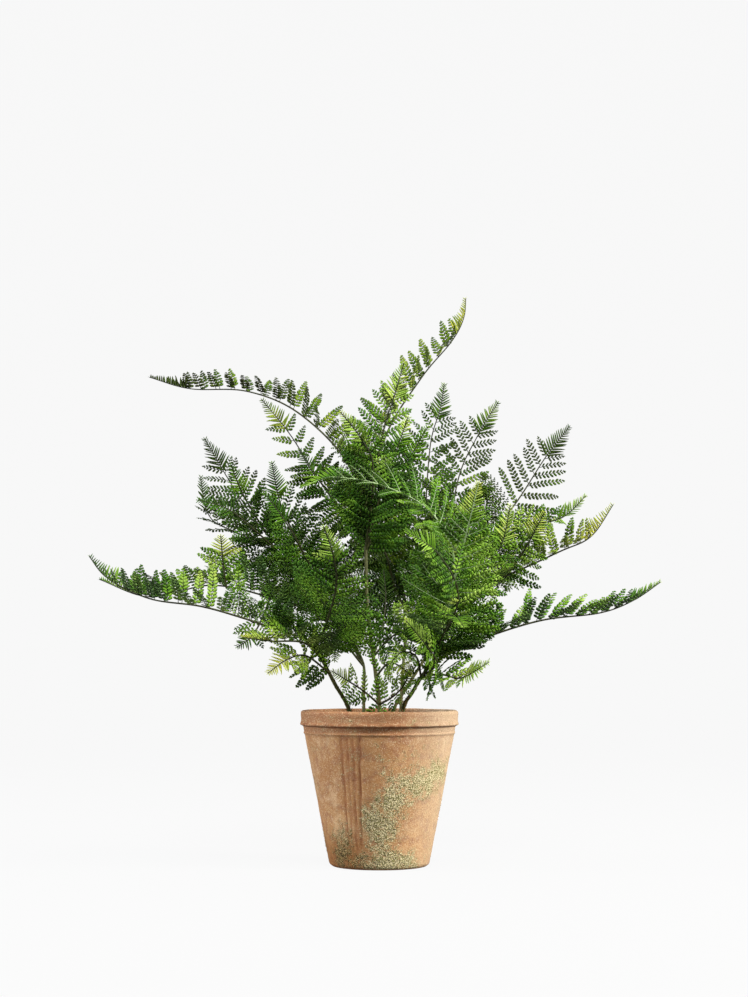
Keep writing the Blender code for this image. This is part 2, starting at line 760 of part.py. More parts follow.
def build_stems(material, stem_paths):
    """Each stem with its fronds, fused in one solid, and clear of every other stem."""
    taken = Taken()
    for name, stem in STEMS.items():
        path = stem_paths[name]
        trial = Blade()
        end = path.length + STEM_PAST_LAST_FORK * MM
        wide = (stem["radius"] + CLEAR_MARGIN) * MM
        trial.points, trial.faces = tube(path, 0, end, wide)
        taken.add(trial, (name, "stem"), ribs=True)
        for title, plan in stem["fronds"].items():
            route = Path(plan["route"])
            parts = stretches(route.length / MM, plan["bare"], plan["reach"])
            marks = [0] + [end * MM for end, kind, pitch in parts]
            face = Vector(plan["face"]).normalized()
            taken.add(rib_alone(route, marks, face), (name, title), ribs=True)
    for name, stem in STEMS.items():
        path = stem_paths[name]
        end = path.length + STEM_PAST_LAST_FORK * MM
        points, faces = tube(path, 0, end, stem["radius"] * MM)
        cane = new_object("cane", points, faces, material)
        fronds = [
            build_frond(plan, (name, title), taken, material)
            for title, plan in stem["fronds"].items()
        ]
        shade_round(combine(name, cane, fronds, "UNION", material), 35)


for leftover in list(bpy.data.objects):
    bpy.data.objects.remove(leftover)

paths = {name: Path(stem["route"]) for name, stem in STEMS.items()}
build_pot(new_material(*TERRACOTTA))
build_soil(new_material(*SOIL_BROWN), paths)
build_stems(new_material(*FROND_GREEN), paths)
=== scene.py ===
import random
from dataclasses import dataclass
from functools import partial
from math import cos, exp, pi, radians, sin, sqrt

import bpy
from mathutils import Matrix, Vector, noise


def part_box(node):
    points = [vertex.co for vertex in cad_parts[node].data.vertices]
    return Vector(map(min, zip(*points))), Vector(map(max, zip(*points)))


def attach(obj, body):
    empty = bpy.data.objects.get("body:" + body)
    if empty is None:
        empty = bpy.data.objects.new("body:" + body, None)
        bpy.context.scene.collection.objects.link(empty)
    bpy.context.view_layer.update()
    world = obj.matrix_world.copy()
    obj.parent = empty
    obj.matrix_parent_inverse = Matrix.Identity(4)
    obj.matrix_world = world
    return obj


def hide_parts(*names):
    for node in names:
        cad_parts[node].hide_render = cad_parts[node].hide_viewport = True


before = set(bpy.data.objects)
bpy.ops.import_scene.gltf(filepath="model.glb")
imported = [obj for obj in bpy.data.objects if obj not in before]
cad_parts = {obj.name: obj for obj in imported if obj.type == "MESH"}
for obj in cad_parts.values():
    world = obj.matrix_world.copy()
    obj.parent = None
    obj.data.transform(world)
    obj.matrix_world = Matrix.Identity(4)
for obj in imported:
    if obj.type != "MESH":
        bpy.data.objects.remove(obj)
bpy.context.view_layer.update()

MM = 0.001


# Pot: terracotta pressed in a two-part mould and fired without a glaze. It has a rim band with a bead under
# it, a fine second ridge and the mould's grooved seam, and years of dust and moss. Its colour also holds
# painted light on its right side, and painted shade under the bead, under the ridge, at the foot and low on
# its left.
# Sizes are in millimetres. A turn is in degrees round the pot, from 0 at the front.

POT_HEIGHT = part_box("pot")[1].z / MM
POT_FOOT_RADIUS = 47
POT_SLOPE = (71.5 - POT_FOOT_RADIUS) / 126
RIM_RADIUS = 75
RIM_BAND_BOTTOM = 131.5
BEAD_MIDDLE = RIM_BAND_BOTTOM + 1.5
RIDGE_MIDDLE = 124.6
POT_WALL = 6.5
POT_FLOOR = 9
POT_SIDES = 240
SEAM_TURN = -22.5
SEAM_DRIFT = -4.5
SEAM_TOP = 122
# Each groove's turn from the seam's middle, and its depth.
SEAM_GROOVES = ((-7.6, 1.0), (-2.6, 0.6), (2.4, 0.7), (7.4, 1.1))
# Each patch's turn and height, how many degrees it reaches round, and how far up.
MOSS_PATCHES = (
    (33, 80, 31, 16), (58, 87, 22, 13), (12, 64, 20, 21), (2, 40, 20, 27), (12, 8, 44, 12),
    (-43, 17, 17, 20), (150, 30, 40, 30), (-170, 12, 45, 14), (105, 55, 20, 25), (-105, 20, 25, 18),
)


def linear(code):
    """A colour from its sRGB hex code, as the linear numbers that a shader takes."""
    parts = [int(code[i : i + 2], 16) / 255 for i in (1, 3, 5)]
    return (*[c / 12.92 if c <= 0.04045 else ((c + 0.055) / 1.055) ** 2.4 for c in parts], 1)


def set_inputs(node, inputs):
    """Sets a node's inputs by their name or number, each to a value, to a colour's hex code, or to
    what an output gives. A node given for an output stands for its first one in use."""
    for name, value in inputs.items():
        if isinstance(value, bpy.types.Node):
            value = next(output for output in value.outputs if output.enabled)
        if isinstance(value, bpy.types.NodeSocket):
            node.id_data.links.new(value, node.inputs[name])
        elif isinstance(value, str) and value.startswith("#"):
            node.inputs[name].default_value = linear(value)
        else:
            node.inputs[name].default_value = value


def add_node(tree, kind, inputs=None, **settings):
    """Adds a node to a tree, with its settings and inputs."""
    made = tree.nodes.new(kind)
    for name, value in settings.items():
        setattr(made, name, value)
    set_inputs(made, inputs or {})
    return made


def new_material(name, inputs):
    """A material, a function that adds nodes to it, and its shader, with what is the same all over
    set on the shader."""
    material = bpy.data.materials.new(name)
    material.use_nodes = True
    shader = material.node_tree.nodes["Principled BSDF"]
    set_inputs(shader, inputs)
    return material, partial(add_node, material.node_tree), shader


def new_object(name, data):
    """An object in the scene, at the origin."""
    made = bpy.data.objects.new(name, data)
    bpy.context.scene.collection.objects.link(made)
    return made


def new_piece(name, points, faces, material):
    """A mesh object, shaded smooth, of points in millimetres."""
    mesh = bpy.data.meshes.new(name)
    mesh.from_pydata([(x * MM, y * MM, z * MM) for x, y, z in points], [], faces)
    mesh.materials.append(material)
    mesh.shade_smooth()
    return new_object(name, mesh)


def store(mesh, name, values, kind="FLOAT", domain="POINT"):
    """Keeps a number, or a direction, for every point or face of a mesh."""
    field = "value"
    if kind == "FLOAT_VECTOR":
        field = "vector"
        values = [number for vector in values for number in vector]
    mesh.attributes.new(name, kind, domain).data.foreach_set(field, values)


def band_faces(rings, sides):
    """The four-sided faces between rings of points that follow each other."""
    faces = []
    for ring in range(rings - 1):
        for side in range(sides):
            a = ring * sides + side
            b = ring * sides + (side + 1) % sides
            faces.append((a, b, b + sides, a + sides))
    return faces


def bump_at(place, middle, width):
    """A round bump of height 1, and of a width where it has fallen by two thirds."""
    return exp(-(((place - middle) / width) ** 2))


def within(value):
    """A value kept between 0 and 1."""
    return min(1, max(0, value))


def on_pot(turn, height):
    """A place near the pot's wall, to read noise at."""
    around = radians(turn)
    return Vector((sin(around) * 65, -cos(around) * 65, height))


def pot_inside(height):
    """The inner radius of the pot's body at a height."""
    return POT_FOOT_RADIUS + POT_SLOPE * height - POT_WALL


def seam_depth(height, turn):
    """How deep the seam's grooves are at a place, from 0 to about 1."""
    fade = within((SEAM_TOP + 0.5 - height) / 2.5) * within((height - 6) / 30)
    waver = 0.7 * noise.noise(Vector((3, 7, height * 0.09)))
    drift = turn - SEAM_TURN - SEAM_DRIFT * (1 - height / SEAM_TOP) + waver
    return fade * sum(deep * bump_at(drift, groove, 0.85) for groove, deep in SEAM_GROOVES)


def bead_chip(turn, height):
    """How much of the bead under the rim band is broken off at a place."""
    return min(0.8, max(0, noise.noise(on_pot(turn, height * 0.5) * 0.3) - 0.05) * 3.5)


def pot_outside(height, turn):
    """The outer radius at a place, with bead, ridge, seam, pits and the clay's unevenness."""
    spot = on_pot(turn, height)
    radius = POT_FOOT_RADIUS + POT_SLOPE * height
    radius -= 2.6 * max(0, 1 - height / 3.2) ** 2
    radius += 0.8 * bump_at(height, RIDGE_MIDDLE, 1.1)
    band = within((height - RIM_BAND_BOTTOM + 0.5) / 1.1)
    radius += (RIM_RADIUS - 0.3 - radius) * band * (height > RIM_BAND_BOTTOM - 1)
    radius += (0.75 - bead_chip(turn, height)) * bump_at(height, BEAD_MIDDLE, 1.5)
    radius += 0.35 * bump_at(height, POT_HEIGHT - 3.5, 3)
    radius -= 1.9 * max(0, (height - POT_HEIGHT + 1.9) / 1.9) ** 2
    radius -= 1.1 * seam_depth(height, turn)
    coarse = 0.4 * noise.noise(spot * 0.022) + 0.16 * noise.noise(spot * 0.11)
    fine = 0.12 * noise.noise(spot * 0.9) + 0.07 * noise.noise(spot * 2.1)
    pit = max(0, noise.noise(spot * 0.62 + Vector((50, 0, 0))) - 0.42)
    return radius + (coarse + fine - 1.5 * pit) * min(1, height / 4)


def pot_dirt_and_shade(height, turn):
    """How dark a place is, from 0 to 1: old dirt in the seam's grooves and the bead's chips, a darker band
    along the seam, and painted shade in thin lines under the bead, under the ridge and at the foot.
    """
    broken = 0.6 + 0.9 * noise.noise(on_pot(turn, height) * 0.35)
    # Dirt in the seam's grooves, and painted shade in a line under the bead.
    dirt = 0.95 * seam_depth(height, turn) + 0.6 * broken * bump_at(height, RIM_BAND_BOTTOM - 0.2, 1.1)
    dirt += 0.8 * bead_chip(turn, height) * bump_at(height, BEAD_MIDDLE, 1.8)
    # Painted shade in lines under the ridge and at the foot.
    dirt += 0.35 * broken * (bump_at(height, 122.8, 0.8) + bump_at(height, 0, 2))
    dirt += 0.3 * broken * bump_at(turn, SEAM_TURN - 1, 9) * (height < SEAM_TOP)
    return within(dirt)


def pot_moss(height, turn):
    """How mossy a place is, from 0 to 1: ragged patches, most near the foot."""
    cover = 0
    for middle, level, reach, rise in MOSS_PATCHES:
        away = (turn - middle + 180) % 360 - 180
        cover = max(cover, 1.25 - 0.85 * sqrt((away / reach) ** 2 + ((height - level) / rise) ** 2))
    spot = on_pot(turn, height)
    ragged = 0.5 * noise.noise(spot * 0.07) + 0.5 * noise.noise(spot * 0.22) + 0.4 * noise.noise(spot * 0.5)
    return within(0.85 * (cover + ragged)) * (height > 1)


def pot_rings():
    """Rings of (radius for a turn, height), up the outside and down the inside. They stand
    closest at the foot's edge, the ridge, the bead and the rim's edge."""
    heights = [0.0, 0.4, 0.9, 1.5, 2.3, 3.3]
    heights += [3.3 + (122 - 3.3) * step / 70 for step in range(1, 71)]
    heights += [122 + 0.55 * step for step in range(1, 18)]
    heights += [131.4 + 0.42 * step for step in range(1, 10)]
    heights += [135.2 + (POT_HEIGHT - 2 - 135.2) * step / 14 for step in range(1, 15)]
    heights += [POT_HEIGHT - 1.9 * (1 - step / 5) for step in range(1, 6)]
    rings = [(lambda turn, h=height: pot_outside(h, turn), height) for height in heights]
    lip = RIM_RADIUS - POT_WALL
    for drop, inset in ((0, 1.6), (0.25, 0.7), (0.9, 0.15), (2.2, 0), (6, -0.1), (11, 0.1), (16, 0.8)):
        rings.append(
            (lambda turn, r=lip + inset: r + 0.25 * noise.noise(Vector((turn * 0.05, r, 3))),
             POT_HEIGHT - drop)
        )
    return rings + [(lambda turn, h=height: pot_inside(h), height) for height in (110, POT_FLOOR)]


def build_pot(material):
    rings = pot_rings()
    turns = [360 * side / POT_SIDES - 180 for side in range(POT_SIDES)]
    points = []
    for size, height in rings:
        for turn in turns:
            around = radians(turn)
            rise = 0
            if height > POT_HEIGHT - 4:
                rise = 0.3 * noise.noise(Vector((sin(around) * 3, cos(around) * 3, 9))) - 0.3
            radius = size(turn)
            points.append((radius * sin(around), -radius * cos(around), height + rise))
    faces = band_faces(len(rings), POT_SIDES)
    foot, floor = len(points), len(points) + 1
    points += [(0, 0, 0), (0, 0, POT_FLOOR)]
    last = (len(rings) - 1) * POT_SIDES
    for side in range(POT_SIDES):
        after = (side + 1) % POT_SIDES
        faces += [(foot, after, side), (floor, last + side, last + after)]
    piece = new_piece("pot_terracotta", points, faces, material)
    for name, value in (("dirt", pot_dirt_and_shade), ("moss", pot_moss)):
        store(piece.data, name, [value(height, turn) for _, height in rings for turn in turns] + [0, 0])
    return piece


def made_plain(piece, tree, values):
    """The piece as a node tree makes it, as a plain mesh in the place of the old one. The tree's
    inputs are set by their names, through their identifiers."""
    modifier = piece.modifiers.new(tree.name, "NODES")
    modifier.node_group = tree
    for socket in tree.interface.items_tree:
        if socket.item_type == "SOCKET" and socket.in_out == "INPUT" and socket.name in values:
            modifier[socket.identifier] = values[socket.name]
    graph = bpy.context.evaluated_depsgraph_get()
    mesh = bpy.data.meshes.new_from_object(piece.evaluated_get(graph))
    piece.modifiers.remove(modifier)
    old = piece.data
    mesh.name = piece.name
    piece.data = mesh
    bpy.data.meshes.remove(old)
    return piece


def new_tree(name, sockets):
    """A geometry node tree with a geometry input and output and named inputs after them, a function
    that adds nodes to it, and what its inputs give."""
    tree = bpy.data.node_groups.new(name, "GeometryNodeTree")
    tree.interface.new_socket("Geometry", in_out="INPUT", socket_type="NodeSocketGeometry")
    tree.interface.new_socket("Geometry", in_out="OUTPUT", socket_type="NodeSocketGeometry")
    for socket, kind in sockets.items():
        tree.interface.new_socket(socket, in_out="INPUT", socket_type="NodeSocket" + kind)
    add = partial(add_node, tree)
    return tree, add, add("NodeGroupInput").outputs


def close_tree(add, geometry, material):
    """Ends a tree: copies made real, the material set and the result handed out."""
    real = add("GeometryNodeRealizeInstances", {"Geometry": geometry})
    done = add("GeometryNodeSetMaterial", {"Geometry": real, "Material": material})
    add("NodeGroupOutput", {0: done})


def dots_over(add, given, share, bare):
    """Dots at random on a piece's faces that aren't bare, as densely as a share of the most says."""
    ground = add(
        "GeometryNodeDeleteGeometry", {"Geometry": given["Geometry"], "Selection": bare}, domain="FACE"
    )
    density = add("ShaderNodeMath", {0: given["Per Square Metre"], 1: share}, operation="MULTIPLY")
    return add(
        "GeometryNodeDistributePointsOnFaces", {"Mesh": ground, "Density": density, "Seed": given["Seed"]}
    )


def crumb_tree(name, share_of):
    """Scatters crumbs over a piece, as densely as a share from 0 to 1 says at each place."""
    tree, add, given = new_tree(
        name, {"Per Square Metre": "Float", "Crumb Radius": "Float", "Smallest": "Vector",
               "Largest": "Vector", "Seed": "Int", "Finish": "Material"},
    )
    share = share_of(add)
    bare = add("FunctionNodeCompare", {0: share, 1: 0.02}, operation="LESS_THAN")
    dots = dots_over(add, given, share, bare)
    crumb = add("GeometryNodeMeshIcoSphere", {"Radius": given["Crumb Radius"], "Subdivisions": 1})
    turn, size = [
        add("FunctionNodeRandomValue", {0: low, 1: high, "Seed": seed}, data_type="FLOAT_VECTOR")
        for low, high, seed in (
            ((0, 0, 0), (6.3, 6.3, 6.3), given["Seed"]), (given["Smallest"], given["Largest"], 5),
        )
    ]
    crumbs = add(
        "GeometryNodeInstanceOnPoints", {"Points": dots, "Instance": crumb, "Rotation": turn, "Scale": size}
    )
    both = add("GeometryNodeJoinGeometry", {"Geometry": crumbs})
    set_inputs(both, {"Geometry": given["Geometry"]})
    close_tree(add, both, given["Finish"])
    return tree


def mossy(add):
    """From 0, where the pot is bare, to 1 in the middle of a patch of moss."""
    cover = add("GeometryNodeInputNamedAttribute", {"Name": "moss"}, data_type="FLOAT")
    return add("ShaderNodeMapRange", {"Value": cover, "From Min": 0.3, "From Max": 1.0})


def terracotta():
    """Unglazed terracotta: matt and dusty, redder on its worn edges, with painted light making its right side
    paler, and painted shade under the bead and ridge, at the foot and low on its left.
    Sand grains of about 1 mm and moss crumbs of 1 to 2 mm set the scale of its patterns. Both are
    drawn a little coarser than real, so that they show."""
    material, add, shader = new_material("weathered_terracotta", {"Specular IOR Level": 0.25})
    place = add("ShaderNodeTexCoord").outputs["Object"]
    spot = add("ShaderNodeSeparateXYZ", {0: place}).outputs
    dirt, cover = [
        add("ShaderNodeAttribute", attribute_name=name).outputs["Fac"] for name in ("dirt", "moss")
    ]

    def cloud(size_mm, detail, rough, shift):
        """Cloudy noise from 0 to 1 whose lumps have a size in millimetres."""
        moved = add("ShaderNodeMapping", {"Vector": place, "Location": (shift, 0, shift)})
        return add(
            "ShaderNodeTexNoise",
            {"Vector": moved, "Scale": 1 / (size_mm * MM), "Detail": detail, "Roughness": rough},
        )

    def layer(under, over, pattern, low, high, most=1.0):
        """A colour that covers another as a pattern goes from a low value to a high one."""
        share = add(
            "ShaderNodeMapRange", {"Value": pattern, "From Min": low, "From Max": high, "To Max": most},
            interpolation_type="SMOOTHSTEP",
        )
        return add("ShaderNodeMix", {"Factor": share, "A": under, "B": over}, data_type="RGBA")

    grain = cloud(1.1, 3, 0.7, 4)
    colour = "#9D7046"
    for over, pattern, low, high, most in (
        ("#AF8456", cloud(60, 3, 0.6, 1), 0.35, 0.65, 1.0),  # paler firing
        ("#8E6144", cloud(9, 4, 0.65, 2), 0.45, 0.7, 1.0),  # worn to the red
        ("#C6A680", cloud(26, 5, 0.7, 3), 0.5, 0.7, 0.6),  # dusty patches
        ("#865A3B", spot["Z"], 0.1225, 0.127, 0.75),  # handled rim
        ("#C8B79C", spot["X"], 0.012, 0.066, 0.5),  # painted light: the right side, where the key light falls, paler
        ("#DCC6A4", grain, 0.53, 0.66, 0.5),  # pale sand
        ("#7C5038", grain, 0.47, 0.34, 0.55),  # dark sand
        ("#5C3A26", cloud(2.6, 2, 0.6, 9), 0.7, 0.76, 0.7),  # pits
    ):
        colour = layer(colour, over, pattern, low, high, most)

    # Shares by the side: 1 away from the painted light on the right side and 0 on it; and rising to 1 on the
    # left, where shade is painted low down.
    away_from_painted_light, at_left = [
        add(
            "ShaderNodeMapRange",
            {"Value": spot["X"], "From Min": low, "From Max": high, "To Min": start, "To Max": 1 - start},
            interpolation_type="SMOOTHSTEP",
        )
        for low, high, start in ((0.012, 0.066, 1.0), (0.0, -0.03, 0.0))
    ]
    # Painted shade low on the left near the foot, where dark moss also grows.
    low_left_shade_and_dark_moss = add(
        "ShaderNodeMapRange",
        {"Value": spot["Z"], "From Min": 0.05, "From Max": 0.01, "To Max": at_left},
        interpolation_type="SMOOTHSTEP",
    )
    # Moss tufts, and dark tufts where shade is painted low on the left.
    tufts, dark_tufts_and_shade = [
        add("ShaderNodeMath", {0: share, 1: weight, 2: cloud(0.9, 2, 0.6, shift)}, operation="MULTIPLY_ADD")
        for share, weight, shift in ((cover, 0.42, 6), (low_left_shade_and_dark_moss, 0.06, 8))
    ]
    moss = add(
        "ShaderNodeMapRange", {"Value": tufts, "From Min": 0.68, "From Max": 0.78},
        interpolation_type="SMOOTHSTEP",
    )
    moss_colour = layer("#D6C8A0", "#787345", cloud(1.1, 2, 0.6, 7), 0.42, 0.56)
    # Dark moss tufts, partly painted shade, thickest low on the left and kept off the painted light on the
    # right.
    moss_colour = layer(moss_colour, "#352D1C", dark_tufts_and_shade, 0.52, 0.61, away_from_painted_light)
    dirty_and_shaded, stained = [
        add("ShaderNodeMapRange", {"Value": share, "To Max": most})
        for share, most in ((dirt, 0.9), (cover, 0.35))
    ]
    # Over the clay: dirt with painted shade lines, moss stain, moss, and painted shade multiplied in low on
    # the left.
    for share, over, kind in (
        (dirty_and_shaded, "#7A4527", "MIX"), (stained, "#AA9269", "MIX"), (moss, moss_colour, "MIX"),
        (low_left_shade_and_dark_moss, "#D2BC9C", "MULTIPLY"),
    ):
        colour = add(
            "ShaderNodeMix", {"Factor": share, "A": colour, "B": over}, data_type="RGBA", blend_type=kind
        )
    rough = add("ShaderNodeMapRange", {"Value": grain, "To Min": 0.78, "To Max": 0.98})
    raised = add("ShaderNodeMath", {0: moss, 1: 1.2, 2: grain}, operation="MULTIPLY_ADD")
    bump = add("ShaderNodeBump", {"Height": raised, "Strength": 0.5, "Distance": 0.0007})
    set_inputs(shader, {"Base Color": colour, "Roughness": rough, "Normal": bump})
    return material


clay = terracotta()
pot = made_plain(
    build_pot(clay), crumb_tree("moss_on_pot", mossy),
    {"Per Square Metre": 240000.0, "Crumb Radius": 0.0005, "Smallest": (0.5, 0.5, 0.4),
     "Largest": (1.5, 1.5, 1.1), "Seed": 2, "Finish": clay},
)
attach(pot, "root")
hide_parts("pot")


# Soil: loose bark and peat compost, a little below the rim, watered flat and then crumbled.
# The plug's top is one uneven sheet, and loose crumbs and bark chips lie on it.

SOIL_TOP = 133
SOIL_RINGS = 20
SOIL_SIDES = 72
SOIL_FOOT = 110
SOIL_GAP = 0.6


def set_ramp(node, stops):
    """Gives a colour ramp its stops, each a place from 0 to 1 and a hex code."""
    elements = node.color_ramp.elements
    for element, (position, code) in zip(elements, (stops[0], stops[-1])):
        element.position = position
        element.color = linear(code)
    for position, code in stops[1:-1]:
        elements.new(position).color = linear(code)


def crumbly_soil():
    """Damp compost: nearly black brown, matt, with paler fibres and crumbs of 1 to 4 mm."""
    material, add, shader = new_material("bark_compost", {"Roughness": 0.95, "Specular IOR Level": 0.2})
    place = add("ShaderNodeTexCoord").outputs["Object"]
    lumps = add("ShaderNodeTexNoise", {"Vector": place, "Scale": 420, "Detail": 5})
    browns = add("ShaderNodeValToRGB", {"Fac": lumps})
    set_ramp(browns, ((0.35, "#1C140D"), (0.72, "#5B4430")))
    bump = add("ShaderNodeBump", {"Height": lumps, "Strength": 0.9, "Distance": 0.0012})
    set_inputs(shader, {"Base Color": browns, "Normal": bump})
    return material


def soil_height(x, y):
    """The height of the soil's top over a place on it."""
    spot = Vector((x, y, 0))
    waves = 1.3 * noise.noise(spot * 0.05) + 0.8 * noise.noise(spot * 0.16)
    return SOIL_TOP - 0.6 + waves + 0.45 * noise.noise(spot * 0.55)


def build_soil(material):
    edge, low = [pot_inside(height) - SOIL_GAP for height in (SOIL_TOP, SOIL_FOOT)]
    turns = [2 * pi * side / SOIL_SIDES for side in range(SOIL_SIDES)]
    points = []
    for ring in range(SOIL_RINGS + 1):
        radius = edge * (1 - ring / (SOIL_RINGS + 1))
        for turn in turns:
            x, y = radius * sin(turn), -radius * cos(turn)
            points.append((x, y, soil_height(x, y)))
    centre, foot = len(points), len(points) + 1
    points.append((0, 0, soil_height(0, 0)))
    points += [(low * sin(turn), -low * cos(turn), SOIL_FOOT) for turn in turns]
    points.append((0, 0, SOIL_FOOT))
    faces = band_faces(SOIL_RINGS + 1, SOIL_SIDES)
    last = SOIL_RINGS * SOIL_SIDES
    for side in range(SOIL_SIDES):
        after = (side + 1) % SOIL_SIDES
        faces += [
            (last + side, last + after, centre),
            (foot + side, foot + after, after, side),
            (foot + SOIL_SIDES, foot + after, foot + side),
        ]
    return new_piece("soil_top", points, faces, material)


def upward(add):
    """1 where a face looks up, and 0 elsewhere."""
    normal = add("GeometryNodeInputNormal")
    up = add("ShaderNodeSeparateXYZ", {0: normal}).outputs["Z"]
    return add("ShaderNodeMath", {0: up, 1: 0.5}, operation="GREATER_THAN")


compost = crumbly_soil()
soil = made_plain(
    build_soil(compost), crumb_tree("crumbs_on_soil", upward),
    {"Per Square Metre": 60000.0, "Crumb Radius": 0.0014, "Smallest": (0.3, 0.5, 0.25),
     "Largest": (1.2, 2.4, 0.9), "Seed": 4, "Finish": compost},
)
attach(soil, "root")
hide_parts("soil")


# Leafy stems: six living canes that fork near the soil, each with its fronds. A frond has a thin
# dark rib, feather-like pinnae to both sides set with small leaflets, and a comb at its tip.
# Sizes are in millimetres and angles in degrees.

TIP_SET_BACK = 2.5
RIB_FOOT = 1.1
RIB_TIP = 0.38
PINNA_RIB = 0.4
COMB_LENGTH = 38
COMB_SHARE_OF_BLADE = 0.4
COMB_LEAFLET = 17
COMB_PITCH = 2.7
COMB_WIDE = 2.1
BLADE_CURVE = 0.65
PINNULE_PITCH = 3.5
MID_SPREAD = 4.9
OPEN_PART = 100
CROWDED_PITCH = 7.4
LACE_AT_LENGTH = 43
LACE_FROM = 6.5
LACE_PITCH = 6.2
LACE_WING = 3.9
LACE_RIB = 0.24
SMALL, LARGE, COMB = range(3)
ANGLE_AT_TIP = 50
ANGLE_AT_FOOT = 68
PINNA_DROOP = 0.16
LINE_STEP = 4
# Painted shade: leaflets within this many millimetres of the plant's middle, at this height, get a deeper
# green tone, by up to this much.
PAINTED_SHADE_HEIGHT = 290
PAINTED_SHADE_WITHIN = 150
PAINTED_SHADE = 0.38


@dataclass
class Frond:
    """How one frond grows along its route."""

    route: list
    bare: float  # how long its bare foot is
    reach: float  # how long its longest pinna is
    fold: float  # how far its pinnae fold up
    face: tuple  # where its upper side faces
    tone: float  # its green, from 0, deep, to 1, young, set partly as painted light and shade
    apart: float = 1.0  # how much further apart its last pinnae stand than usual
    upright: float = 0  # how much straighter its pinnae stand out than usual
    wing: float = MID_SPREAD  # how long its leaflets are
    airy: float = OPEN_PART  # how long its airy last part is
    pale: bool = False  # whether its ribs are drawn pale grey green, a painted sheen
    tan: float = 0.0  # how far its green is darkened toward olive, from 0 to 1: partly its colour, partly painted shade on outer fronds against the light
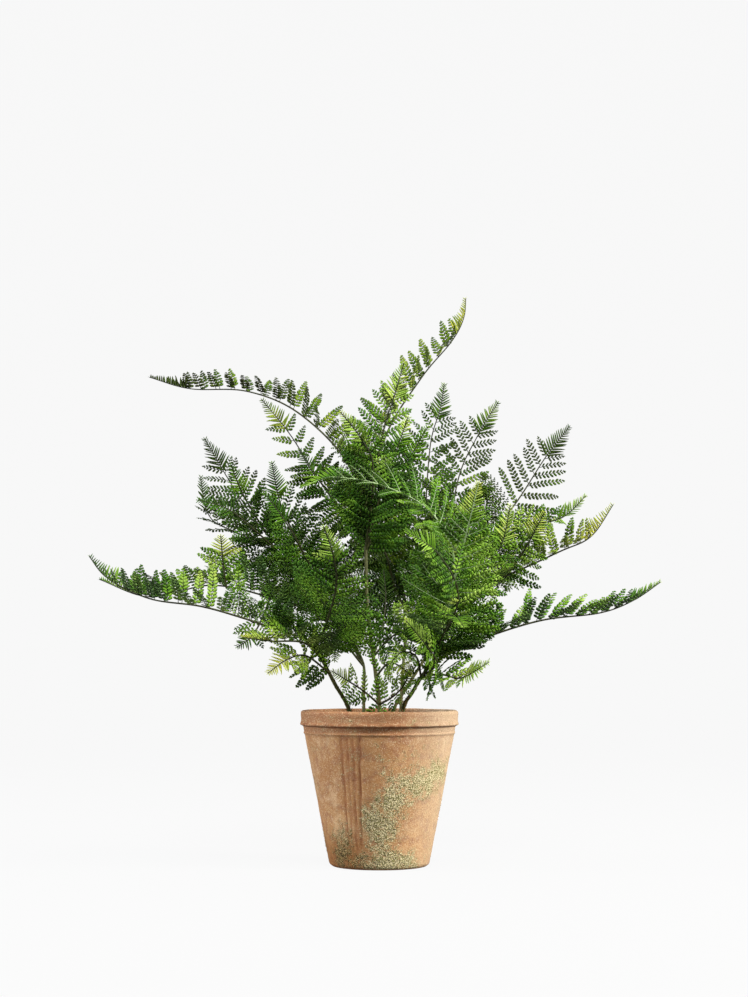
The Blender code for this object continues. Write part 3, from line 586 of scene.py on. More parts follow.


# Each stem's radius, its route and its fronds. A frond's tone is partly painted light and shade: lower on
# shaded and backlit fronds, higher on fronds that face the light.
STEMS = {
    "fern_stem_left_front": (2.0, [
        (-24, -16, 102), (-28, -20, 144), (-42, -30, 171), (-54, -38, 194), (-64, -44, 211),
    ], [
        Frond([(-64, -44, 211), (-88, -50, 219), (-130, -54, 233), (-167, -54, 243),
               (-214, -50, 250), (-254, -44, 269), (-274, -40, 292)],
              bare=44, reach=48, fold=56, face=(0.15, -0.25, 1), tone=0.44,
              apart=1.15, upright=20, wing=6.2, airy=160),
        Frond([(-54, -38, 194), (-70, -66, 209), (-97, -104, 210), (-123, -140, 213)],
              bare=8, reach=42, fold=48, face=(-0.1, -0.5, 1), tone=0.74, wing=6.2, tan=0.4),
        Frond([(-47, -34, 181), (-68, -60, 197), (-85, -84, 193), (-102, -104, 180)],
              bare=14, reach=30, fold=10, face=(-0.1, -1, 0.3), tone=0.84, wing=6.2, tan=0.4),
        Frond([(-54, -38, 194), (-54, -48, 212), (-40, -86, 257), (-42, -110, 287), (-51, -126, 314)],
              bare=22, reach=60, fold=8, face=(0, -1, 0.35), tone=0.66),
    ]),
    "fern_stem_left_back": (1.6, [
        (-15, 14, 102), (-15, 15, 143), (-15, 17, 164), (-15, 20, 187), (-22, 22, 205),
    ], [
        Frond([(-15, 20, 187), (-56, 26, 259), (-92, 30, 292), (-136, 32, 316),
               (-166, 32, 333), (-176, 30, 375)],
              bare=64, reach=56, fold=30, face=(0.2, -0.5, 0.8), tone=0.15, tan=0.7),
        Frond([(-22, 22, 205), (-60, 50, 267), (-111, 64, 317), (-143, 66, 361), (-176, 62, 416)],
              bare=60, reach=56, fold=14, face=(0.3, -0.9, 0.3), tone=0.2, tan=0.8),
        Frond([(-15, 20, 187), (-55, 8, 233), (-105, 4, 253), (-162, 8, 265),
               (-222, 14, 254), (-274, 20, 272)],
              bare=60, reach=50, fold=54, face=(0, -0.2, 1), tone=0.64,
              apart=1.15, upright=20, wing=6.2, airy=160),
        Frond([(-22, 22, 205), (-34, -2, 226), (-40, -26, 216), (-42, -44, 190)],
              bare=16, reach=28, fold=14, face=(-0.2, -0.8, 0.6), tone=0.8),
        Frond([(-22, 22, 205), (-45, 90, 254), (-82, 150, 291), (-125, 205, 300)],
              bare=44, reach=52, fold=22, face=(0.1, 0.2, 1), tone=0.4),
        Frond([(-60, 50, 267), (-78, 30, 305), (-96, 12, 345), (-104, -4, 385)],
              bare=6, reach=38, fold=16, face=(0.1, -1, 0.2), tone=0.3),
        Frond([(-92, 30, 292), (-120, 10, 318), (-146, -4, 338), (-176, -14, 346)],
              bare=6, reach=34, fold=18, face=(0, -0.9, 0.4), tone=0.3),
        Frond([(-111, 64, 317), (-124, 46, 338), (-136, 34, 360), (-146, 24, 386)],
              bare=4, reach=30, fold=16, face=(0.1, -1, 0.2), tone=0.4),
        Frond([(-147, 6, 262), (-150, 0, 285), (-152, -8, 314)],
              bare=2, reach=30, fold=12, face=(0, -1, 0.2), tone=0.78, wing=6.0),
        Frond([(-56, 26, 259), (-70, 0, 290), (-88, -24, 322), (-110, -42, 352)],
              bare=6, reach=38, fold=14, face=(0.2, -1, 0.3), tone=0.45),
        Frond([(-105, 4, 253), (-112, -8, 232), (-122, -20, 214), (-136, -30, 204)],
              bare=4, reach=28, fold=12, face=(-0.1, -1, 0.3), tone=0.55),
    ]),
    "fern_stem_middle": (2.0, [
        (0, -3, 102), (0, -4, 149), (-4, -2, 183), (-8, 0, 212), (-12, 3, 251),
        (-13, 5, 298), (-14, 6, 318),
    ], [
        Frond([(-14, 6, 318), (-30, 12, 382), (-78, 18, 433), (-129, 18, 455),
               (-185, 14, 457), (-226, 8, 468)],
              bare=30, reach=46, fold=50, face=(0.1, -0.2, 1), tone=0.17,
              apart=1.35, upright=24, wing=5.6, airy=240, tan=1.0),
        Frond([(-13, 5, 298), (-5, -10, 360), (4, -20, 412), (13, -26, 440), (24, -34, 477)],
              bare=26, reach=44, fold=10, face=(-0.1, -1, 0.1), tone=0.78),
        Frond([(-14, 6, 318), (5, 30, 409), (41, 42, 471), (72, 44, 509), (84, 40, 532),
               (86, 34, 553)],
              bare=50, reach=50, fold=48, face=(-1, -0.35, 0.1), tone=0.48,
              apart=1.25, upright=10, wing=6.3, airy=180, tan=0.9),
        Frond([(-13, 5, 298), (-6, -30, 373), (-18, -50, 401), (-38, -64, 425)],
              bare=36, reach=42, fold=15, face=(-0.3, -0.9, 0.3), tone=0.84),
        Frond([(0, -4, 151), (-15, -18, 164), (-30, -34, 174), (-46, -50, 184)],
              bare=6, reach=24, fold=14, face=(0, -1, 0.4), tone=0.9),
        Frond([(-3, -2, 178), (8, -22, 190), (18, -44, 188), (30, -66, 178)],
              bare=10, reach=24, fold=14, face=(0, -1, 0.4), tone=0.9),
        Frond([(-6, -1, 196), (2, 18, 222), (6, 34, 252), (4, 46, 284)],
              bare=10, reach=34, fold=18, face=(0.2, -0.6, 0.8), tone=0.35),
        Frond([(-13, 5, 298), (-2, -16, 340), (14, -30, 385), (28, -36, 425)],
              bare=10, reach=36, fold=14, face=(0.1, -1, 0.2), tone=0.75),
        Frond([(-13, 5, 298), (8, 6, 345), (28, 4, 385), (48, 0, 420)],
              bare=14, reach=32, fold=14, face=(0.1, -1, 0.2), tone=0.6),
        Frond([(0, -4, 151), (14, -22, 160), (24, -38, 172), (30, -50, 190)],
              bare=4, reach=20, fold=14, face=(0, -0.9, 0.4), tone=0.9),
        Frond([(-6, -1, 196), (10, -24, 214), (28, -44, 222), (40, -60, 214)],
              bare=10, reach=28, fold=14, face=(0, -0.9, 0.5), tone=0.75),
    ]),
    "fern_stem_right_back": (1.6, [
        (11, 18, 102), (14, 20, 144), (22, 23, 160), (36, 27, 182), (55, 32, 213),
        (66, 34, 240), (74, 34, 259),
    ], [
        Frond([(74, 34, 259), (101, 46, 303), (138, 54, 352), (166, 56, 395), (191, 54, 427)],
              bare=30, reach=58, fold=12, face=(-0.2, -0.95, 0.1), tone=0.16, tan=1.0),
        Frond([(55, 32, 213), (66, 56, 292), (79, 70, 373), (99, 74, 418), (121, 72, 454)],
              bare=70, reach=48, fold=12, face=(-0.2, -0.95, 0.1), tone=0.3, tan=0.8),
        Frond([(74, 34, 259), (123, 22, 275), (175, 12, 298), (204, 4, 312), (226, -4, 344)],
              bare=30, reach=54, fold=42, face=(-0.3, -0.4, 0.9), tone=0.88,
              apart=1.15, upright=20, wing=6.2, airy=160, tan=0.5),
        Frond([(55, 32, 213), (47, 84, 314), (52, 104, 409), (63, 106, 451), (67, 104, 478)],
              bare=80, reach=44, fold=10, face=(0.1, -1, 0.1), tone=0.35, tan=0.5),
        Frond([(66, 34, 240), (92, 90, 264), (118, 150, 276), (143, 205, 273)],
              bare=36, reach=52, fold=22, face=(-0.1, 0.2, 1), tone=0.45),
        Frond([(123, 22, 275), (140, 0, 300), (158, -20, 335)],
              bare=6, reach=34, fold=14, face=(0, -1, 0.3), tone=0.8),
        Frond([(101, 46, 303), (140, 20, 322), (176, 4, 330), (200, -4, 352)],
              bare=10, reach=28, fold=26, face=(0, -0.7, 0.7), tone=0.65),
    ]),
    "fern_stem_middle_back": (1.7, [
        (19, 36, 102), (21, 38, 144), (22, 44, 167), (25, 56, 203), (30, 68, 236),
    ], [
        Frond([(30, 68, 236), (16, 70, 264), (5, 66, 302), (-15, 56, 326), (-46, 48, 352),
               (-68, 44, 384), (-90, 42, 418), (-118, 40, 452)],
              bare=70, reach=38, fold=14, face=(0.3, -0.9, 0.3), tone=0.6,
              apart=1.4, upright=12, wing=5.4, airy=80, tan=0.8),
        Frond([(-15, 56, 326), (-40, 40, 350), (-62, 30, 372), (-80, 22, 400)],
              bare=10, reach=34, fold=14, face=(0.2, -1, 0.2), tone=0.5),
        Frond([(30, 68, 236), (18, 92, 294), (9, 120, 368), (5, 150, 423)],
              bare=40, reach=50, fold=15, face=(0, 0.9, 0.4), tone=0.4),
        Frond([(25, 56, 203), (25, 110, 264), (24, 170, 303), (23, 230, 302)],
              bare=40, reach=56, fold=20, face=(0, 0.3, 1), tone=0.5),
        Frond([(30, 68, 236), (-2, 112, 297), (-38, 152, 346), (-72, 190, 378)],
              bare=40, reach=52, fold=20, face=(-0.1, 0.5, 0.9), tone=0.45),
    ]),
    "fern_stem_right_front": (2.0, [
        (25, -14, 102), (22, -17, 145), (31, -23, 163), (39, -29, 177), (49, -36, 191),
    ], [
        Frond([(49, -36, 191), (96, -44, 213), (151, -46, 230), (206, -44, 237),
               (238, -42, 249), (265, -40, 267)],
              bare=74, reach=37, fold=50, face=(-0.1, -0.2, 1), tone=0.58,
              apart=1.1, upright=-6, wing=5.8, airy=160),
        Frond([(39, -29, 177), (56, -60, 180), (74, -96, 177), (98, -128, 192)],
              bare=14, reach=34, fold=14, face=(0.1, -0.9, 0.5), tone=0.76,
              wing=6.2),
        Frond([(39, -29, 177), (52, -66, 190), (40, -104, 208), (21, -130, 230)],
              bare=18, reach=36, fold=12, face=(0.2, -1, 0.4), tone=0.76,
              wing=6.2),
        Frond([(49, -36, 191), (61, -64, 239), (75, -92, 293), (90, -112, 355)],
              bare=30, reach=52, fold=8, face=(0, -1, 0.3), tone=0.62, pale=True),
        Frond([(49, -36, 191), (71, -88, 247), (54, -124, 285), (20, -150, 308)],
              bare=34, reach=44, fold=15, face=(0.3, -0.8, 0.5), tone=0.64),
        Frond([(49, -36, 191), (70, -52, 276), (50, -64, 327), (6, -76, 352),
               (-42, -84, 360), (-74, -84, 350)],
              bare=70, reach=50, fold=25, face=(0, -0.5, 0.85), tone=0.45, pale=True),
        Frond([(49, -36, 191), (60, -100, 222), (66, -150, 230), (72, -190, 220)],
              bare=34, reach=46, fold=20, face=(0.1, -0.3, 1), tone=0.6),
        Frond([(49, -36, 191), (84, -50, 258), (112, -58, 297), (122, -60, 339)],
              bare=44, reach=38, fold=15, face=(-0.3, -0.9, 0.3), tone=0.7),
        Frond([(39, -29, 177), (34, -56, 196), (20, -80, 200), (8, -98, 188)],
              bare=14, reach=26, fold=14, face=(0, -0.9, 0.5), tone=0.85),
    ]),
}


class Path:
    """A smooth curve through a route's points, read by its length."""

    SAMPLES = 14

    def __init__(self, route):
        ends = [Vector(point) for point in route]
        knots = [ends[0] * 2 - ends[1]] + ends + [ends[-1] * 2 - ends[-2]]
        self.points = [ends[0]]
        for before, start, end, after in zip(knots, knots[1:], knots[2:], knots[3:]):
            for step in range(1, self.SAMPLES + 1):
                t = step / self.SAMPLES
                square = (2 * before - 5 * start + 4 * end - after) * t**2
                cube = (3 * start - before - 3 * end + after) * t**3
                self.points.append(0.5 * (2 * start + (end - before) * t + square + cube))
        self.marks = [0.0]
        for start, end in zip(self.points, self.points[1:]):
            self.marks.append(self.marks[-1] + (end - start).length)
        self.length = self.marks[-1]

    def point(self, distance):
        """The point at a distance along the curve, past either end too."""
        for index in range(1, len(self.marks)):
            if distance <= self.marks[index] or index == len(self.marks) - 1:
                break
        start, end = self.points[index - 1], self.points[index]
        share = (distance - self.marks[index - 1]) / (self.marks[index] - self.marks[index - 1])
        return start + (end - start) * share

    def direction(self, distance):
        return (self.point(distance + 3) - self.point(distance - 3)).normalized()


class Growth:
    """What one stem grows, as lists to build its pieces from."""

    def __init__(self, seed):
        self.draw = random.Random(seed)
        self.canes = []
        self.dark_ribs = []
        self.pale_ribs = []
        self.green_ribs = []
        self.leaflets = []
        self.tan = 0.0

    def vary(self, amount):
        return self.draw.uniform(-amount, amount)

    def leaflet(self, point, out, up, wide, length, kind, tone):
        """A leaflet's place, directions and size, turned and rolled a little by chance. Its green is made
        deeper inside the plant as painted shade."""
        side = out.cross(up)
        out = (out + up * self.vary(0.14) + side * self.vary(0.06)).normalized()
        up = (up + side * self.vary(0.35)).normalized()
        length *= 1 + self.vary(0.08)
        # Painted shade: a deeper green near the plant's middle.
        from_middle = sqrt(point.x**2 + point.y**2 + 0.5 * (point.z - PAINTED_SHADE_HEIGHT) ** 2)
        tone += self.vary(0.06) - PAINTED_SHADE * max(0, 1 - from_middle / PAINTED_SHADE_WITHIN)
        size = (wide * MM, length * MM, length * MM)
        self.leaflets.append((point * MM, out, up, size, kind, tone, self.tan))


def feather(growth, foot, out, forward, up, length, spread, plump, ribs, rib, tone):
    """A pinna: a fine rib that sags and bends to the frond's tip, with side shoots. A shoot is a
    leaflet, or a smaller feather where it is long enough. Plump leaflets of 1 touch each other."""

    def at(share):
        bend = forward * (0.07 * length * share**2)
        return foot + out * (length * share) + bend - up * (PINNA_DROOP * length * share**2)

    kind = LARGE if MID_SPREAD <= spread < LACE_FROM else SMALL
    taper = 3.4 if MID_SPREAD < spread < LACE_FROM else 2.2
    steps = max(2, round(length / 7))
    ribs.append([(at(step / steps), rib * (1 - 0.55 * step / steps), tone) for step in range(steps + 1)])
    from_end = 1.2
    while from_end < length - 1.2:
        share = 1 - from_end / length
        size = spread * min(1, 0.36 + from_end / (taper * spread), 0.75 + 1.2 * share)
        lace = size > LACE_FROM
        pitch = LACE_PITCH if lace else PINNULE_PITCH * min(1, 0.45 + 0.13 * size)
        along = (out - up * (2 * PINNA_DROOP * share) + forward * (0.14 * share)).normalized()
        over = (up + along * (2 * PINNA_DROOP * share)).normalized()
        angle = radians(60 - 16 * share)
        for turn in (-1, 1):
            side = along.cross(over) * turn
            point = at(share + turn * 0.12 * pitch / length)
            shoot = along * cos(angle) + side * sin(angle)
            if lace:
                feather(
                    growth, point, shoot, along, over, size, LACE_WING, plump, growth.green_ribs,
                    LACE_RIB, tone,
                )
            else:
                wide = plump * min(pitch, 0.5 + 0.6 * size)
                growth.leaflet(point, shoot, over, wide, size, kind, tone)
        from_end += pitch
    end = (out - up * (2 * PINNA_DROOP) + forward * 0.14).normalized()
    growth.leaflet(at(0.97), end, (up + out * 0.3).normalized(), 1.6, 3, SMALL, tone)


def pinna_length(from_tip, blade, comb, reach):
    """How long a pinna is at a distance from the frond's tip. In the comb it is one leaflet."""
    leaflet = min(COMB_LEAFLET, reach * 0.6)
    if from_tip < comb:
        return leaflet * max(0.15, from_tip / comb) ** 0.7
    if from_tip > blade:
        return reach * max(0.3, 1 - (from_tip - blade) / 60)
    return leaflet + (reach - leaflet) * ((from_tip - comb) / (blade - comb)) ** BLADE_CURVE


def pinna_spread(length, wing):
    """How far a pinna's side shoots reach: leaflets on most, lace on the longest ones."""
    return wing if length < LACE_AT_LENGTH else MID_SPREAD + 0.24 * (length - 28)


def pinna_pitch(from_tip, length, plan):
    """How far apart pinnae stand: with gaps in the airy part, and crowded in the old part."""
    return (9.4 + 0.06 * length) * plan.apart if from_tip < plan.airy else CROWDED_PITCH


def grow_frond(growth, plan):
    """Grows a frond's rib, and from its tip down first its comb and then its pairs of pinnae."""
    growth.tan = plan.tan
    path = Path(plan.route)
    face = Vector(plan.face).normalized()
    end = path.length - TIP_SET_BACK
    blade = end - plan.bare
    comb = min(COMB_LENGTH, COMB_SHARE_OF_BLADE * blade)
    old = 0.5 + 0.3 * (plan.tone - 0.5)
    plump = 0.6 + 0.12 * plan.tone + 0.3 * min(1, plan.wing - MID_SPREAD)
    # Fronds with pale ribs get ribs whose pale grey green is painted sheen.
    main_ribs = growth.pale_ribs if plan.pale else growth.canes
    pinna_ribs = growth.pale_ribs if plan.pale else growth.dark_ribs
    rib = []
    steps = round(end / LINE_STEP)
    for step in range(steps + 1):
        share = step / steps
        radius = RIB_FOOT + (RIB_TIP - RIB_FOOT) * share**1.5
        rib.append((path.point(end * step / steps), radius, 0.45 * (1 - share)))
    main_ribs.append(rib)
    from_tip = 1.6
    while from_tip < end - 0.3 * plan.bare:
        size = pinna_length(from_tip, blade, comb, plan.reach)
        in_comb = from_tip < comb
        if in_comb:
            pitch = COMB_PITCH * min(1, 0.55 + size / 20)
        else:
            pitch = pinna_pitch(from_tip, size, plan)
        share = min(1, from_tip / blade)
        aged = within((from_tip - 50) / 90)
        angle = radians(ANGLE_AT_TIP + plan.upright + (ANGLE_AT_FOOT - ANGLE_AT_TIP) * share)
        wild = 1 + 1.8 * share
        young = plan.tone + 0.16 * (1 - share) - 0.08
        for turn in (-1, 1):
            distance = end - from_tip - turn * 0.12 * pitch
            along = path.direction(distance)
            up = (face - along * face.dot(along)).normalized()
            side = along.cross(up) * turn
            lift = radians(plan.fold + growth.vary(8 * wild))
            flat = side * cos(lift) + up * sin(lift)
            over = up * cos(lift) - side * sin(lift)
            lean = min(pi / 2, angle) + radians(growth.vary(5 * wild))
            out = along * cos(lean) + flat * sin(lean)
            point = path.point(distance)
            if in_comb:
                wide = min(COMB_WIDE, 0.7 + 0.1 * size)
                growth.leaflet(point, out, over, wide, size, COMB, young)
                continue
            rolled = (over + out.cross(over) * growth.vary(0.18 * wild)).normalized()
            feather(
                growth, point, out, along, rolled, size * (1 + growth.vary(0.1)),
                pinna_spread(size, plan.wing), min(1, plump + 0.45 * aged), pinna_ribs,
                PINNA_RIB, (young - 0.18) * (1 - aged) + old * aged + growth.vary(0.14),
            )
        from_tip += pitch
    growth.leaflet(path.point(end - 0.6), path.direction(end), face, 1.0, 2.4, LARGE, plan.tone + 0.2)


def grow_stem(radius, route, fronds, seed):
    """Grows a stem: its cane, which thins to its end and swells at its knots, and its fronds."""
    growth = Growth(seed)
    path = Path(route)
    steps = round(path.length / LINE_STEP)
    cane = []
    for step in range(steps + 1):
        share = step / steps
        knot = 0.18 * bump_at(path.length * share % 31, 15, 2.2)
        cane.append((path.point(path.length * share), radius * (1 - 0.2 * share) + knot, 1 - 0.5 * share))
    growth.canes.append(cane)
    for plan in fronds:
        grow_frond(growth, plan)
    return growth


def lines_mesh(name, lines):
    """A mesh of open lines, with each point's radius and tone kept as attributes."""
    points, edges, radii, tones = [], [], [], []
    for line in lines:
        first = len(points)
        for point, radius, tone in line:
            points.append(point * MM)
            radii.append(radius * MM)
            tones.append(tone)
        edges += [(first + step, first + step + 1) for step in range(len(line) - 1)]
    mesh = bpy.data.meshes.new(name)
    mesh.from_pydata(points, edges, [])
    store(mesh, "rib_radius", radii)
    store(mesh, "tone", tones)
    return mesh


# What is kept for each leaflet, after its place, and as what.
LEAFLET_FIELDS = (
    ("out", "FLOAT_VECTOR"), ("up", "FLOAT_VECTOR"), ("size", "FLOAT_VECTOR"), ("kind", "INT"),
    ("tone", "FLOAT"), ("tan", "FLOAT"),
)


def leaflet_points_mesh(name, leaflets):
    """A mesh of loose points, one for each leaflet, with what is kept for it."""
    points, *columns = zip(*leaflets)
    mesh = bpy.data.meshes.new(name)
    mesh.from_pydata(points, [], [])
    for (title, kind), values in zip(LEAFLET_FIELDS, columns):
        store(mesh, title, values, kind)
    return mesh


def leaflet_shape(name, rows, thick, arch):
    """A leaflet one unit long: rows of (place along it, half its width), raised at the middle
    and meeting in a sharp edge. Its under side and the way across it are kept as attributes."""
    points, across, faces, under = [(0, 0, 0)], [0.0], [], []
    for place, half in rows:
        drop = -arch * place**2
        points += [(-half, place, drop), (0, place, drop + thick), (half, place, drop),
                   (0, place, drop - thick * 0.6)]
        across += [1.0, 0.0, 1.0, 0.0]
    tip = len(points)
    points.append((0, 1, -arch))
    across.append(0.0)
    for row in range(len(rows) - 1):
        a, b = 1 + 4 * row, 5 + 4 * row
        faces += [(a, a + 1, b + 1, b), (a + 1, a + 2, b + 2, b + 1)]
        faces += [(a + 3, a, b, b + 3), (a + 2, a + 3, b + 3, b + 2)]
        under += [0.0, 0.0, 1.0, 1.0]
    last = tip - 4
    faces += [(0, 2, 1), (0, 3, 2), (last, last + 1, tip), (last + 1, last + 2, tip)]
    faces += [(0, 1, 4), (0, 4, 3), (last + 3, last, tip), (last + 2, last + 3, tip)]
    under += [0.0] * 4 + [1.0] * 4
    mesh = bpy.data.meshes.new(name)
    mesh.from_pydata(points, [], faces)
    mesh.shade_smooth()
    store(mesh, "along", [place for _, place, _ in points])
    store(mesh, "across", across)
    store(mesh, "under", under, domain="FACE")
    return new_object(name, mesh)


def leaflet_tree():
    """Sets a leaflet of its kind on every point, turned to the point's directions and size."""
    kinds = ("Small Leaflet", "Large Leaflet", "Comb Leaflet")
    tree, add, given = new_tree("leaflets_on_ribs", {**dict.fromkeys(kinds, "Object"), "Finish": "Material"})
    out, up, size, kind = [
        add("GeometryNodeInputNamedAttribute", {"Name": title}, data_type=data_type)
        for title, data_type in LEAFLET_FIELDS[:4]
    ]
    turn = add(
        "FunctionNodeAxesToRotation", {"Primary Axis": out, "Secondary Axis": up},
        primary_axis="Y", secondary_axis="Z",
    )
    joined = add("GeometryNodeJoinGeometry")
    for number, title in enumerate(kinds):
        chosen = add("FunctionNodeCompare", {2: kind, 3: number}, data_type="INT", operation="EQUAL")
        copy = add("GeometryNodeObjectInfo", {"Object": given[title]})
        grown = add(
            "GeometryNodeInstanceOnPoints",
            {"Points": given["Geometry"], "Selection": chosen, "Instance": copy.outputs["Geometry"],
             "Rotation": turn, "Scale": size},
        )
        set_inputs(joined, {0: grown})
    close_tree(add, joined, given["Finish"])
    return tree


def rib_tree():
    """Turns lines into round ribs with closed ends, as thick as their points say."""
    tree, add, given = new_tree("round_ribs", {"Sides": "Int", "Finish": "Material"})
    curve = add("GeometryNodeMeshToCurve", {"Mesh": given["Geometry"]})
    radius = add("GeometryNodeInputNamedAttribute", {"Name": "rib_radius"}, data_type="FLOAT")
    circle = add("GeometryNodeCurvePrimitiveCircle", {"Resolution": given["Sides"], "Radius": 1.0})
    tube = add(
        "GeometryNodeCurveToMesh",
        {"Curve": curve, "Profile Curve": circle, "Scale": radius, "Fill Caps": True},
    )
    smooth = add("GeometryNodeSetShadeSmooth", {0: tube})
    close_tree(add, smooth, given["Finish"])
    return tree


def scale_tree():
    """Sets thin pointed scales on the foot of a stem, upright and a little out from it."""
    tree, add, given = new_tree(
        "scales_on_stem", {"Per Square Metre": "Float", "Scale Length": "Float", "Bare From": "Float",
                           "Seed": "Int", "Finish": "Material"},
    )
    place = add("GeometryNodeInputPosition")
    height = add("ShaderNodeSeparateXYZ", {0: place}).outputs["Z"]
    share = add(
        "ShaderNodeMapRange",
        {"Value": height, "From Min": SOIL_TOP * MM, "From Max": given["Bare From"], "To Min": 1.0,
         "To Max": 0.0},
    )
    buried = add("FunctionNodeCompare", {0: height, 1: (SOIL_TOP - 3) * MM}, operation="LESS_THAN")
    dots = dots_over(add, given, share, buried)
    slant = add("ShaderNodeVectorMath", {0: dots.outputs["Normal"], 1: (0, 0, 1.6)}, operation="ADD")
    turn = add("FunctionNodeAlignRotationToVector", {"Vector": slant}, axis="Z")
    width = add("ShaderNodeMath", {0: given["Scale Length"], 1: 0.16}, operation="MULTIPLY")
    scale = add(
        "GeometryNodeMeshCone",
        {"Vertices": 3, "Radius Top": 0.0, "Radius Bottom": width, "Depth": given["Scale Length"]},
    )
    size = add("FunctionNodeRandomValue", {2: 0.5, 3: 1.2, "Seed": given["Seed"]}, data_type="FLOAT")
    scales = add(
        "GeometryNodeInstanceOnPoints", {"Points": dots, "Instance": scale, "Rotation": turn, "Scale": size}
    )
    close_tree(add, scales, given["Finish"])
    return tree


def leaf_green():
    """A living leaf: waxy above with a satin shine, a little paler below. Its green runs from deep on old
    fronds to yellow on young tips, and its tone also carries painted shade inside the plant and painted light
    and shade on whole fronds. Outer fronds are darkened toward olive, partly their colour and partly painted
    shade.
    The midrib and the veins show as paler lines, drawn wider than real."""
    material, add, shader = new_material("waxy_fern_leaf", {"Specular IOR Level": 0.09})
    tone, across, along, under, tan = [
        add("ShaderNodeAttribute", attribute_name=name).outputs["Fac"]
        for name in ("tone", "across", "along", "under", "tan")
    ]
    place = add("ShaderNodeTexCoord").outputs["Object"]
    patch = add("ShaderNodeTexNoise", {"Vector": place, "Scale": 28, "Detail": 2}, normalize=False)
    spread = add("ShaderNodeMath", {0: patch, 1: 0.4, 2: tone}, operation="MULTIPLY_ADD")
    green = add("ShaderNodeValToRGB", {"Fac": spread})
    set_ramp(green, (
        (0.1, "#071E02"), (0.36, "#224A06"), (0.55, "#517516"), (0.75, "#7F9942"), (0.88, "#97A64B"),
        (1, "#A3AC42"),
    ))
    slant = add("ShaderNodeMath", {0: across, 1: -0.25, 2: along}, operation="MULTIPLY_ADD")
    stripe = add("ShaderNodeMath", {0: slant, 1: 0.1}, operation="PINGPONG")
    midrib, side_vein = [
        add("ShaderNodeMapRange", {"Value": value, "From Max": far, "To Min": most, "To Max": 0.0})
        for value, far, most in ((across, 0.3, 0.3), (stripe, 0.035, 0.16))
    ]
    vein = add("ShaderNodeMath", {0: midrib, 1: side_vein}, operation="MAXIMUM")
    above, below = [
        add("ShaderNodeMix", {"Factor": share, "A": green, "B": paler}, data_type="RGBA")
        for share, paler in ((vein, "#7FA53A"), (0.2, "#8FA578"))
    ]
    colour = add("ShaderNodeMix", {"Factor": under, "A": above, "B": below}, data_type="RGBA")
    # Outer fronds darkened toward olive: partly their colour, partly painted shade where they stand against
    # the light.
    olive_and_shaded = add(
        "ShaderNodeMix", {"Factor": tan, "A": colour, "B": "#EED8B4"}, data_type="RGBA", blend_type="MULTIPLY"
    )
    fine = add("ShaderNodeTexNoise", {"Vector": place, "Scale": 1400, "Detail": 2})
    rough = add("ShaderNodeMapRange", {"Value": fine, "To Min": 0.42, "To Max": 0.62})
    bump = add("ShaderNodeBump", {"Height": fine, "Strength": 0.25, "Distance": 0.0002})
    set_inputs(shader, {"Base Color": olive_and_shaded, "Roughness": rough, "Normal": bump})
    return material


def wiry_stalk():
    """A fern's wiry stalk: olive brown with long fibres where it is thick, and nearly black where
    it is thin."""
    material, add, shader = new_material("wiry_fern_stalk", {"Roughness": 0.6, "Specular IOR Level": 0.25})
    place = add("ShaderNodeTexCoord").outputs["Object"]
    stretched = add("ShaderNodeMapping", {"Vector": place, "Scale": (900, 900, 60)})
    fibres = add("ShaderNodeTexNoise", {"Vector": stretched, "Scale": 1, "Detail": 3})
    tone = add("ShaderNodeAttribute", attribute_name="tone").outputs["Fac"]
    brown = add("ShaderNodeMix", {"Factor": fibres, "A": "#2E3417", "B": "#6B6C38"}, data_type="RGBA")
    colour = add("ShaderNodeMix", {"Factor": tone, "A": "#1A1F0C", "B": brown}, data_type="RGBA")
    bump = add("ShaderNodeBump", {"Height": fibres, "Strength": 0.4, "Distance": 0.0003})
    set_inputs(shader, {"Base Color": colour, "Normal": bump})
    return material


def mottled(name, scale, dark, light, rough, shine):
    """A skin of two close colours in soft patches, so many of them to a metre."""
    material, add, shader = new_material(name, {"Roughness": rough, "Specular IOR Level": shine})
    place = add("ShaderNodeTexCoord").outputs["Object"]
    patch = add("ShaderNodeTexNoise", {"Vector": place, "Scale": scale, "Detail": 2})
    colour = add("ShaderNodeMix", {"Factor": patch, "A": dark, "B": light}, data_type="RGBA")
    set_inputs(shader, {"Base Color": colour})
    return material


leaf = leaf_green()
stalk = wiry_stalk()
# The rib of a pinna is smooth, dull and nearly black.
rib_black, *_ = new_material(
    "dark_pinna_rib", {"Base Color": "#0A1904", "Roughness": 0.6, "Specular IOR Level": 0.12}
)
# The pale ribs of front fronds are smooth with a wax that shines a little; their pale grey green is painted
# sheen.
rib_painted_sheen = mottled("waxy_young_rib", 120, "#4F6A35", "#92A57A", rough=0.4, shine=0.35)
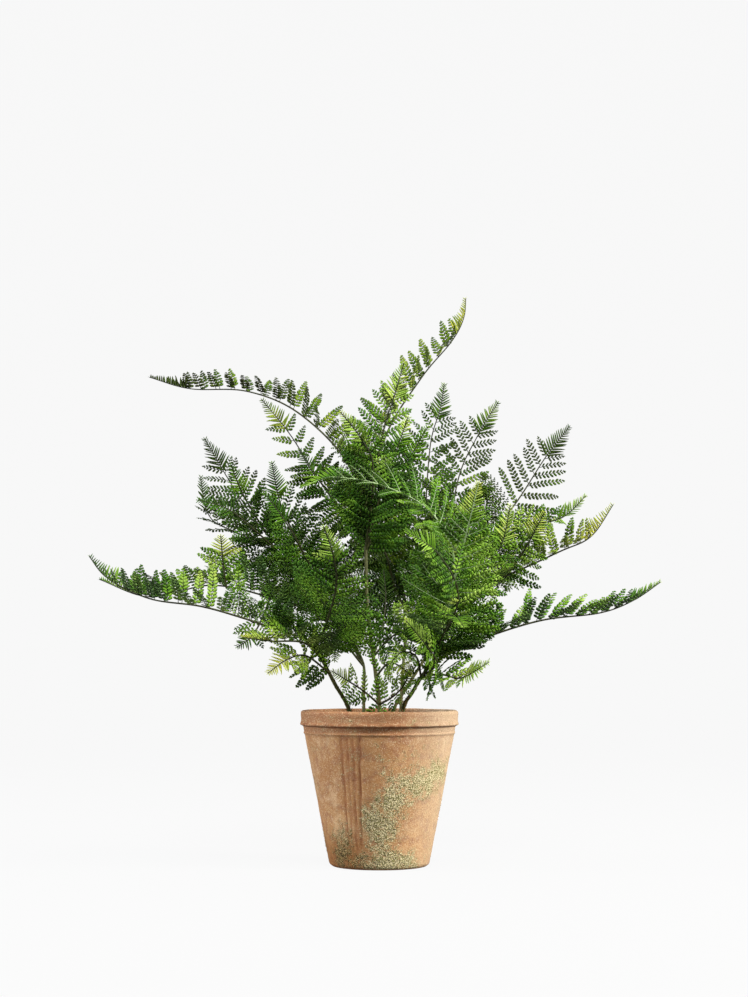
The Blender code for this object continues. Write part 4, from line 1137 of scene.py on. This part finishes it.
# The papery scales on a fern's stalks are dry, matt and rust brown.
papery = mottled("dry_papery_scale", 900, "#3A2414", "#8A6238", rough=0.9, shine=0.15)
shapes = {
    "Small Leaflet": leaflet_shape("small_leaflet", [(0.5, 0.52)], 0.05, 0.1),
    "Large Leaflet": leaflet_shape("large_leaflet", [(0.16, 0.4), (0.7, 0.5)], 0.04, 0.1),
    "Comb Leaflet": leaflet_shape(
        "comb_leaflet", [(0.08, 0.5), (0.35, 0.46), (0.65, 0.38), (0.86, 0.22)], 0.02, 0.12
    ),
}
leaflets_on_ribs = leaflet_tree()
round_ribs = rib_tree()
scales_on_stem = scale_tree()
for number, (node, stem) in enumerate(STEMS.items()):
    growth = grow_stem(*stem, seed=100 + number)
    pieces = []
    for title, lines, sides, finish in (
        ("canes", growth.canes, 8, stalk),
        ("dark_ribs", growth.dark_ribs, 3, rib_black),
        ("pale_ribs", growth.pale_ribs, 5, rib_painted_sheen),
        ("green_ribs", growth.green_ribs, 3, leaf),
    ):
        if lines:
            ribs = new_object(f"{node}_{title}", lines_mesh(title, lines))
            pieces.append(made_plain(ribs, round_ribs, {"Sides": sides, "Finish": finish}))
    leaves = new_object(f"{node}_leaflets", leaflet_points_mesh("leaflets", growth.leaflets))
    pieces.append(made_plain(leaves, leaflets_on_ribs, {**shapes, "Finish": leaf}))
    scales = new_object(f"{node}_scales", pieces[0].data.copy())
    scaly = {"Per Square Metre": 260000.0, "Scale Length": 0.0028, "Bare From": 0.185, "Seed": number}
    pieces.append(made_plain(scales, scales_on_stem, {**scaly, "Finish": papery}))
    for piece in pieces:
        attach(piece, "root")
        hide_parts(node)
for shape in shapes.values():
    bpy.data.objects.remove(shape)


# Studio: a pale floor of paper that rises all round into a backdrop, a large soft light from the
# right, weaker ones from above and the left, a white room's light, and the camera at the
# photograph's height and distance. Sizes are in metres.

FLOOR_RADIUS = 2.6
BACKDROP_CURVE = 1.4
BACKDROP_HEIGHT = 3.2
BACKDROP_SIDES = 64
CURVE_STEPS = 12


def build_studio():
    rings = [(FLOOR_RADIUS * share, 0) for share in (0.3, 0.6, 1)]
    for step in range(1, CURVE_STEPS + 1):
        turn = pi / 2 * step / CURVE_STEPS
        rings.append((FLOOR_RADIUS + BACKDROP_CURVE * sin(turn), BACKDROP_CURVE * (1 - cos(turn))))
    rings.append((FLOOR_RADIUS + BACKDROP_CURVE, BACKDROP_HEIGHT))
    points = []
    for radius, height in rings:
        for side in range(BACKDROP_SIDES):
            around = 2 * pi * side / BACKDROP_SIDES
            points.append((radius * sin(around) / MM, -radius * cos(around) / MM, height / MM))
    faces = [face[::-1] for face in band_faces(len(rings), BACKDROP_SIDES)]
    faces.append(tuple(range(BACKDROP_SIDES)))
    paper, *_ = new_material(
        "matt_paper", {"Base Color": "#202020", "Roughness": 1, "Specular IOR Level": 0,
                       "Emission Color": "#FFFFFF", "Emission Strength": 0.925},
    )
    backdrop = new_piece("studio_paper", points, faces, paper)
    backdrop.visible_diffuse = False
    backdrop.visible_glossy = False
    backdrop.visible_shadow = False


def add_light(name, place, size, power, colour):
    """A round soft light, aimed at the middle of the plant."""
    lamp = bpy.data.lights.new(name, "AREA")
    lamp.shape = "DISK"
    lamp.size = size
    lamp.energy = power
    lamp.color = linear(colour)[:3]
    light = new_object(name, lamp)
    light.location = place
    light.rotation_euler = (Vector((0, 0, 0.28)) - Vector(place)).to_track_quat("-Z", "Y").to_euler()
    light.visible_camera = False


build_studio()
add_light("key_right", (1.9, -0.6, 1.2), 0.6, 95, "#FFFBF4")
add_light("soft_top", (0.2, -1.1, 1.8), 0.8, 50, "#FFFFFF")
add_light("fill_left", (-1.9, -0.1, 0.8), 0.7, 46, "#F6FAFF")


def room_light():
    """The light that a white room sends from all round: strong from above, weak from below."""
    world = bpy.data.worlds.new("studio")
    world.use_nodes = True
    add = partial(add_node, world.node_tree)
    way = add("ShaderNodeTexCoord").outputs["Generated"]
    rise = add("ShaderNodeSeparateXYZ", {0: way}).outputs["Z"]
    strength = add(
        "ShaderNodeMapRange",
        {"Value": rise, "From Min": -1.0, "From Max": 1.0, "To Min": 0.26, "To Max": 0.62},
    )
    set_inputs(world.node_tree.nodes["Background"], {"Color": "#F7F7F7", "Strength": strength})
    return world


scene = bpy.context.scene
scene.world = room_light()
scene.view_settings.view_transform = "Standard"

lens = bpy.data.cameras.new("photo_camera")
lens.lens = 65.9
lens.sensor_width = 36
scene.camera = new_object("photo_camera", lens)
scene.camera.location = (-0.0052, -1.75, 0.1895)
scene.camera.rotation_euler = (radians(90 + 5.18), 0, 0)
